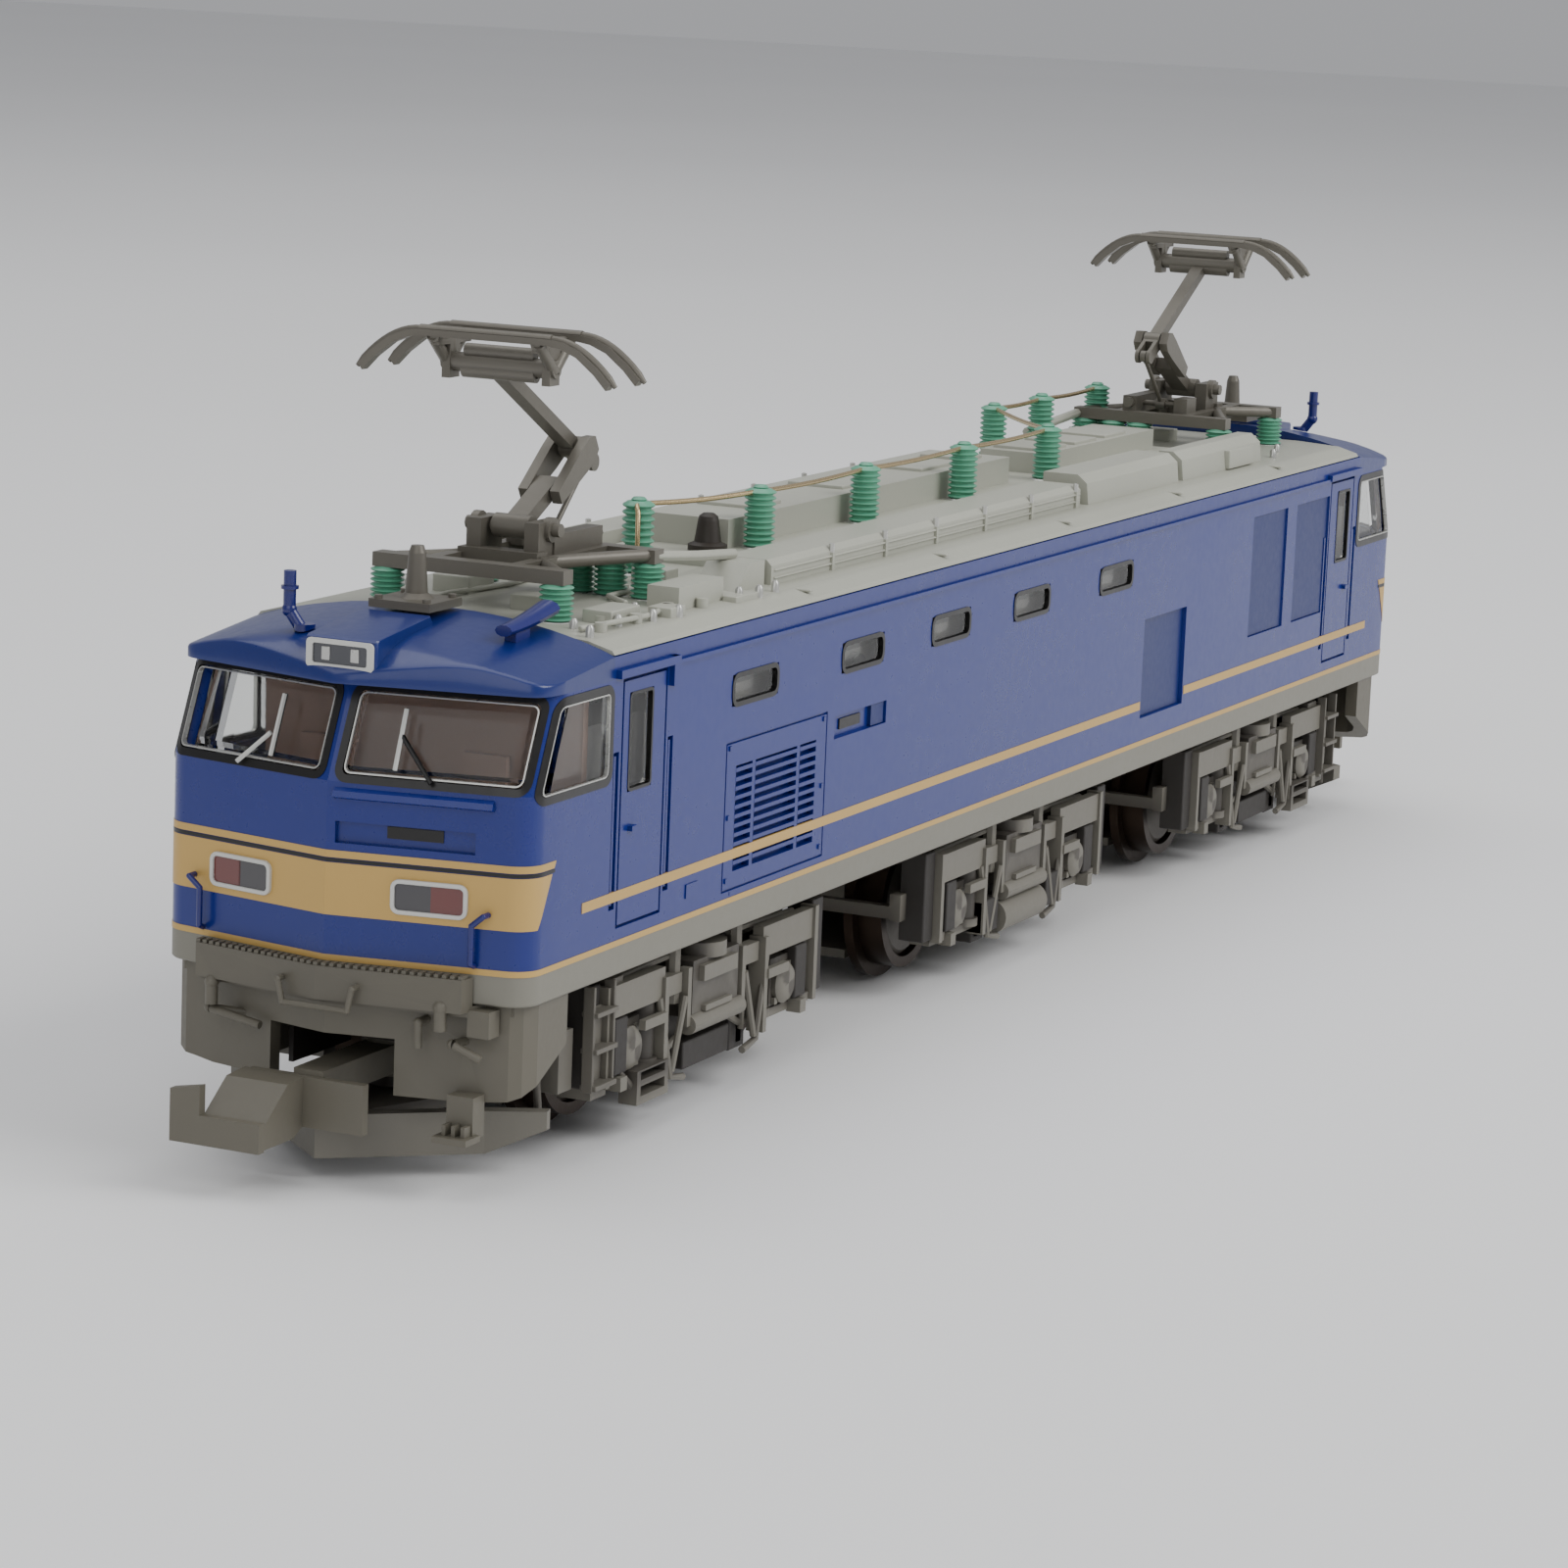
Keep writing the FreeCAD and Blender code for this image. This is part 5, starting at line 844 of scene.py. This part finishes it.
def make_roof_details():
    """Pins, boxes and cables at both ends of the roof; rails, brackets and hatches along its middle."""
    stock, bright = Stock(), Stock()
    for sign in (1, -1):
        for x, y in PIN_SPOTS:
            pin = [(0.22, 24.9), (0.22, 25.45), (0.12, 25.6), (0.02, 25.62)]
            lathe(bright, pin, (x * sign, y * sign, 0), steps=8)
        for low, high in ROOF_BOXES:
            turned_box(stock, low, high, sign, sign)
        for path, size in CABLES:
            tube(stock, np.array(path) * [sign, sign, 1], size, 6)
        for x in (-31.5, -14.0, 4.0, 22.0, 40.0):
            turned_box(stock, (x, -9.3, 24.85), (x + 0.35, -7.7, 25.0), 1, sign)
        for k in range(6):
            stud = [(0.16, 26.0), (0.16, 26.45), (0.02, 26.5)]
            lathe(bright, stud, (6.85 * k - 24.45, -7.2 * sign, 0), steps=6)
        for z in (25.35, 25.75):
            turned_box(stock, (-31.5, -7.32, z), (10.4, -7.1, z + 0.12), 1, sign)
    for x, length, width in HATCHES:
        box_shape(stock, (x, 1.0 - width / 2, 27.25), (x + length, 1.0 + width / 2, 27.5))
    for x in (19.5, 24.5, 29.5):
        box_shape(stock, (x, -1.2, 26.95), (x + 3.6, 2.2, 27.2))
    piece("roof_fittings", stock, ROOF_GREY, soft=30, bevel=0.06)
    piece("roof_pins", bright, SILVER_TRIM, soft=40)


# ------------------------------------------------------------------ pantographs

def make_pantograph_details():
    """Rods of the base frames, and the strips, brackets and tubes of the heads."""
    for end, sign in (("front", 1), ("rear", -1)):
        def place(points):
            return np.asarray(points, float) * [sign, sign, 1]
        stock = Stock()
        for path in ([(-50.4, -4.9, 27.3), (-47.3, -2.0, 27.4), (-41.0, -4.8, 27.35)],
                     [(-50.4, 4.9, 27.3), (-47.3, 2.0, 27.4), (-41.0, 4.8, 27.35)],
                     [(-46.3, -2.6, 28.9), (-46.3, 2.6, 28.9)], [(-45.6, -1.65, 28.2), (-40.6, -1.65, 28.2)]):
            tube(stock, place(path), 0.34, 10)
        for y in (-2.0, 2.0):
            tube(stock, place([(-46.3, y - 0.2, 28.9), (-46.3, y + 0.2, 28.9)]), 0.62, 14)
        piece("pantograph_base_fittings_" + end, stock, PANTO_GREY, soft=40)
        stock = Stock()
        z0 = 36.6
        span = np.linspace(-1, 1, 41)
        y = 7.05 * span
        rise = np.where(np.abs(y) < 3.6, 1.92, 1.92 - 0.085 * (np.abs(y) - 3.6) ** 2 * 2.0)
        for dx in (-1.55, 1.55):
            tube(stock, place(np.column_stack([np.full(41, -48.2 + dx), y, z0 + rise])),
                 np.where(np.abs(span) > 0.97, 0.12, 0.2), 8)
            tube(stock, place(np.column_stack([np.full(21, -48.2 + dx), np.linspace(-3.6, 3.6, 21),
                                               np.full(21, z0 + 1.98)])), 0.27, 8, flat=0.7)
        for y_at in (-2.75, 2.75):
            tube(stock, place([(-49.9, y_at, z0 + 1.6), (-46.5, y_at, z0 + 1.6)]), 0.26, 10)
            tube(stock, place([(-48.2, y_at, z0 + 1.6), (-48.2, y_at * 0.96, z0 + 0.3)]), 0.24, 8)
            for x_at in (-49.8, -46.6):
                tube(stock, place([(x_at, y_at * 1.06, z0 + 1.65), (-48.2, y_at * 1.06, z0 + 0.25)]), 0.3, 8)
        tube(stock, place([(-48.2, -3.1, z0 + 0.35), (-48.2, 3.1, z0 + 0.35)]), 0.46, 12)
        tube(stock, place([(-48.2, -1.9, z0 + 0.95), (-48.2, 1.9, z0 + 0.95)]), 0.34, 10)
        piece("pantograph_head_tubes_" + end, stock, PANTO_GREY, "pantograph_%s_head" % end,
              soft=50)


# ------------------------------------------------------------------ running gear

AXLE_Z, HALF_BASE, BOGIE_X = 4.4, 8.8, 40.3

# Boxes of one quarter of a bogie as x, y and height limits; the last list repeats across only.
FRAME_BOXES = [(2.9, 3.3, 8.6, 9.1, 4.4, 7.4), (5.6, 11.9, 8.35, 8.95, 6.3, 7.9),
               (11.6, 12.0, 8.2, 9.1, 3.0, 8.0), (5.5, 5.9, 8.2, 9.15, 2.4, 7.4),
               (9.9, 10.6, 8.4, 9.2, 2.6, 3.3), (5.8, 8.2, 8.9, 9.25, 5.2, 5.7),
               (3.4, 5.4, 8.2, 8.8, 6.2, 7.2)]
DARK_BOXES = [(3.5, 5.3, 7.2, 8.2, 1.7, 5.9), (12.1, 13.4, 7.2, 8.7, 3.2, 8.2),
              (9.6, 10.9, 8.2, 9.0, 3.4, 6.2)]
CENTRE_BOXES = [(-1.9, 1.9, 8.9, 9.3, 6.5, 7.3), (-1.5, 1.5, 8.95, 9.25, 4.9, 5.2)]

# Pipes and rods of one quarter of a bogie with their radii.
BOGIE_RODS = [([(3.0, 8.2, 8.0), (6.0, 8.0, 7.9), (11.2, 7.9, 7.7)], 0.16),
              ([(3.0, 8.3, 3.7), (4.6, 8.2, 3.0), (6.2, 8.0, 2.9)], 0.2),
              ([(4.6, 8.3, 2.7), (4.5, 8.4, 4.8), (4.2, 8.2, 6.4)], 0.17),
              ([(6.1, 8.9, 6.4), (4.9, 9.0, 2.2), (3.4, 9.0, 1.9)], 0.2),
              ([(3.4, 9.0, 6.0), (4.7, 9.0, 2.4)], 0.18), ([(3.5, 8.3, 5.6), (3.5, 8.3, 8.7)], 0.4)]
BOX_CAP = [(1.05, 8.45), (1.1, 8.75), (0.9, 8.95), (0.5, 9.0), (0.02, 9.02)]


def spread_boxes(stock, boxes, centre, side, ends=(1, -1)):
    """Boxes on one side of a bogie, repeated at the ends asked for."""
    for x0, x1, y0, y1, z0, z1 in boxes:
        for end in ends:
            turned_box(stock, (x0, y0, z0), (x1, y1, z1), end, side, centre)


def make_bogie_details(body, centre, middle=False):
    """Frame plates, brake rigging, pipes, brackets and boxes of one bogie."""
    stock, dark = Stock(), Stock()
    for side in (-1, 1):
        for axle in (centre - HALF_BASE, centre + HALF_BASE):
            lathe(stock, [(size, y * side) for size, y in BOX_CAP], (axle, 0, AXLE_Z), axis="y", steps=20)
            for dx, dz in ((-0.85, 0.85), (0.85, 0.85), (-0.85, -0.85), (0.85, -0.85)):
                z = AXLE_Z + dz
                turned_box(stock, (dx - 0.18, 8.4, z - 0.18), (dx + 0.18, 8.7, z + 0.18), 1, side, axle)
        spread_boxes(stock, FRAME_BOXES, centre, side)
        spread_boxes(stock, CENTRE_BOXES, centre, side, ends=(1,))
        spread_boxes(dark, DARK_BOXES, centre, side)
        turned_box(dark, (-2.6, 7.4, 2.0), (2.6, 8.6, 3.4), 1, side, centre)
        for path, size in BOGIE_RODS:
            for end in (1, -1):
                tube(stock, np.array(path) * [end, side, 1] + [centre, 0, 0], size, 8)
        tube(stock, np.array([(-2.7, 9.0 * side, 4.4), (2.7, 9.0 * side, 4.4)]) + [centre, 0, 0], 0.42, 8)
        if middle:
            for x0 in (-5.9, 3.6):
                turned_box(dark, (x0, 8.0, 2.4), (x0 + 2.3, 9.1, 4.3), 1, side, centre)
    piece(body + "_springs_and_gear", stock, BOGIE_GREY, body, soft=40)
    piece(body + "_boxes", dark, DARK_GREY, body, soft=30, bevel=0.08)


def make_end_steps():
    """Ladder steps, guard irons and side pipes at the outer end of each end bogie."""
    for end, sign in (("front", 1), ("rear", -1)):
        stock = Stock()
        for side in (-1, 1):
            boxes = [(-54.1, -51.9, 8.6, 9.5, 6.9, 7.15), (-54.1, -51.9, 8.6, 9.5, 5.1, 5.35),
                     (-54.1, -51.9, 8.6, 9.5, 3.3, 3.55), (-54.15, -53.95, 8.7, 9.3, 3.2, 8.4),
                     (-52.05, -51.85, 8.7, 9.3, 3.2, 8.4), (-55.9, -54.5, 7.0, 8.4, 3.4, 6.4),
                     (-51.6, -50.0, 7.4, 8.7, 6.6, 8.2)]
            for x0, x1, y0, y1, z0, z1 in boxes:
                turned_box(stock, (x0, y0, z0), (x1, y1, z1), sign, sign * side)
            for path in ([(-56.2, 7.2, 6.2), (-56.6, 7.6, 4.2), (-56.4, 7.7, 1.8)],
                         [(-50.8, 8.4, 6.8), (-50.6, 8.8, 3.6), (-49.0, 8.9, 2.4)]):
                tube(stock, np.array(path) * [sign, sign * side, 1], 0.2, 8)
        piece("cab_steps_" + end, stock, BOGIE_GREY, "bogie_" + end, soft=30, bevel=0.04)


WHEEL_DISC = [(2.95, 5.42), (2.75, 5.6), (1.9, 5.5), (1.3, 5.62), (1.15, 5.85), (0.6, 5.95), (0.02, 5.96)]


def make_wheel_faces():
    """Grey hollowed disc with a hub on the outer face of every wheel."""
    wheels = {"outer_wheelset_front": -BOGIE_X - HALF_BASE, "inner_wheelset_front": -BOGIE_X + HALF_BASE,
              "middle_wheelset_front": -HALF_BASE, "middle_wheelset_rear": HALF_BASE,
              "inner_wheelset_rear": BOGIE_X - HALF_BASE, "outer_wheelset_rear": BOGIE_X + HALF_BASE}
    for body, x in wheels.items():
        stock = Stock()
        for side in (-1, 1):
            lathe(stock, [(r, h * side) for r, h in WHEEL_DISC], (x, 0, AXLE_Z), axis="y", steps=28)
        piece(body + "_discs", stock, HUB_GREY, body, soft=40)


def make_step_beam_details():
    """Toothed tread along the step beam and ribs of the hanging step."""
    stock = Stock()
    for sign in (1, -1):
        for k in range(37):
            y = -7.05 + k * 14.1 / 36
            x = -64.55 + 1.15 * abs(y) / 7.15
            turned_box(stock, (x, y - 0.11, 10.15), (x + 0.55, y + 0.11, 10.36), sign, sign)
        for y in (-7.5, -7.0, -6.5):
            turned_box(stock, (-63.6, y - 0.1, 2.7), (-62.9, y + 0.1, 3.3), sign, sign)
    piece("step_beam_treads", stock, SKIRT_GREY, soft=30)
    stock = Stock()
    for sign in (1, -1):
        for low, high in (((-60.5, 3.45, 4.3), (-55.0, 3.7, 8.3)), ((-60.5, -3.7, 4.3), (-55.0, -3.45, 8.3)),
                          ((-60.8, -3.4, 7.2), (-55.2, 3.4, 7.6)), ((-54.6, -3.3, 5.5), (-54.3, 3.3, 9.2))):
            turned_box(stock, low, high, sign, sign)
    piece("coupler_pocket_walls", stock, DARK_GREY, soft=30)


# ------------------------------------------------------------------ finishes of carried-over pieces

def finish_nodes():
    """Give every part that is carried over its finish, by its material name."""
    table = {
        "clear": GLASS, "light_grey": ROOF_GREY, "lens": LENS_DARK, "rail_blue": DEEP_BLUE,
        "skirt_grey": SKIRT_GREY,
        "interior_grey": CABIN, "green_insulator": GREEN, "copper": COPPER, "dark_grey": ARRESTER,
        "pantograph_grey": PANTO_GREY, "die_cast": CAST, "steel": STEEL, "brass": BRASS, "board_green": BOARD,
        "bogie_grey": BOGIE_GREY, "gear_plastic": GEAR_BLACK, "wheel_metal": WHEEL, "blue_paint": BODY_BLUE}
    slots = {part["node"]: part["material_slot"] for part in frame["record"]["subparts"]}
    for name, obj in NODES.items():
        obj.data.materials.clear()
        obj.data.materials.append(table[slots[name]])


# ------------------------------------------------------------------ camera, floor and light

def make_stage():
    """Pale floor, three soft lights, even room light and the camera."""
    bpy.ops.mesh.primitive_plane_add(size=3.0, location=(0, 0, -0.0002))
    floor = bpy.context.object
    floor.name = "floor"
    paint = finish_of("floor_paint", (0.86, 0.86, 0.86), 0.7, tone=0.01, patch=6.0, grain=400.0, bump=0.002)
    floor.data.materials.append(paint)
    for name, place, power, size in (("key", (0.1, -0.5, 0.42), 2.9, 0.4),
                                     ("fill", (-0.55, -0.1, 0.35), 1.1, 0.5),
                                     ("top", (0.1, 0.15, 0.7), 2.4, 0.7)):
        light = bpy.data.lights.new(name, "AREA")
        light.energy = power
        light.size = size
        lamp = bpy.data.objects.new(name, light)
        lamp.location = place
        lamp.rotation_euler = Vector(place).to_track_quat("Z", "Y").to_euler()
        bpy.context.scene.collection.objects.link(lamp)
    world = bpy.data.worlds.new("room")
    world.use_nodes = True
    world.node_tree.nodes["Background"].inputs["Color"].default_value = (0.95, 0.96, 1.0, 1)
    world.node_tree.nodes["Background"].inputs["Strength"].default_value = 0.42
    bpy.context.scene.world = world
    view = bpy.data.cameras.new("view")
    view.lens = 112.694
    view.sensor_width = 36
    view.shift_x = 0.001283
    view.shift_y = 0.005756
    view.clip_start = 0.01
    camera = bpy.data.objects.new("view", view)
    camera.matrix_world = Matrix(((0.426818, 0.147395, -0.892245, -0.25719),
                                  (-0.903442, 0.113385, -0.413444, -0.112752),
                                  (0.040228, 0.982557, 0.181558, 0.060235), (0, 0, 0, 1)))
    bpy.context.scene.collection.objects.link(camera)
    bpy.context.scene.camera = camera


make_walls()
make_window_frames()
make_side_details()
make_lamps()
make_cab_roofs()
make_wipers()
make_horns()
make_insulators()
make_roof_details()
make_pantograph_details()
make_bogie_details("bogie_front", -BOGIE_X)
make_bogie_details("bogie_rear", BOGIE_X)
make_bogie_details("bogie_middle", 0.0, middle=True)
make_end_steps()
make_wheel_faces()
make_step_beam_details()
finish_nodes()
make_stage()
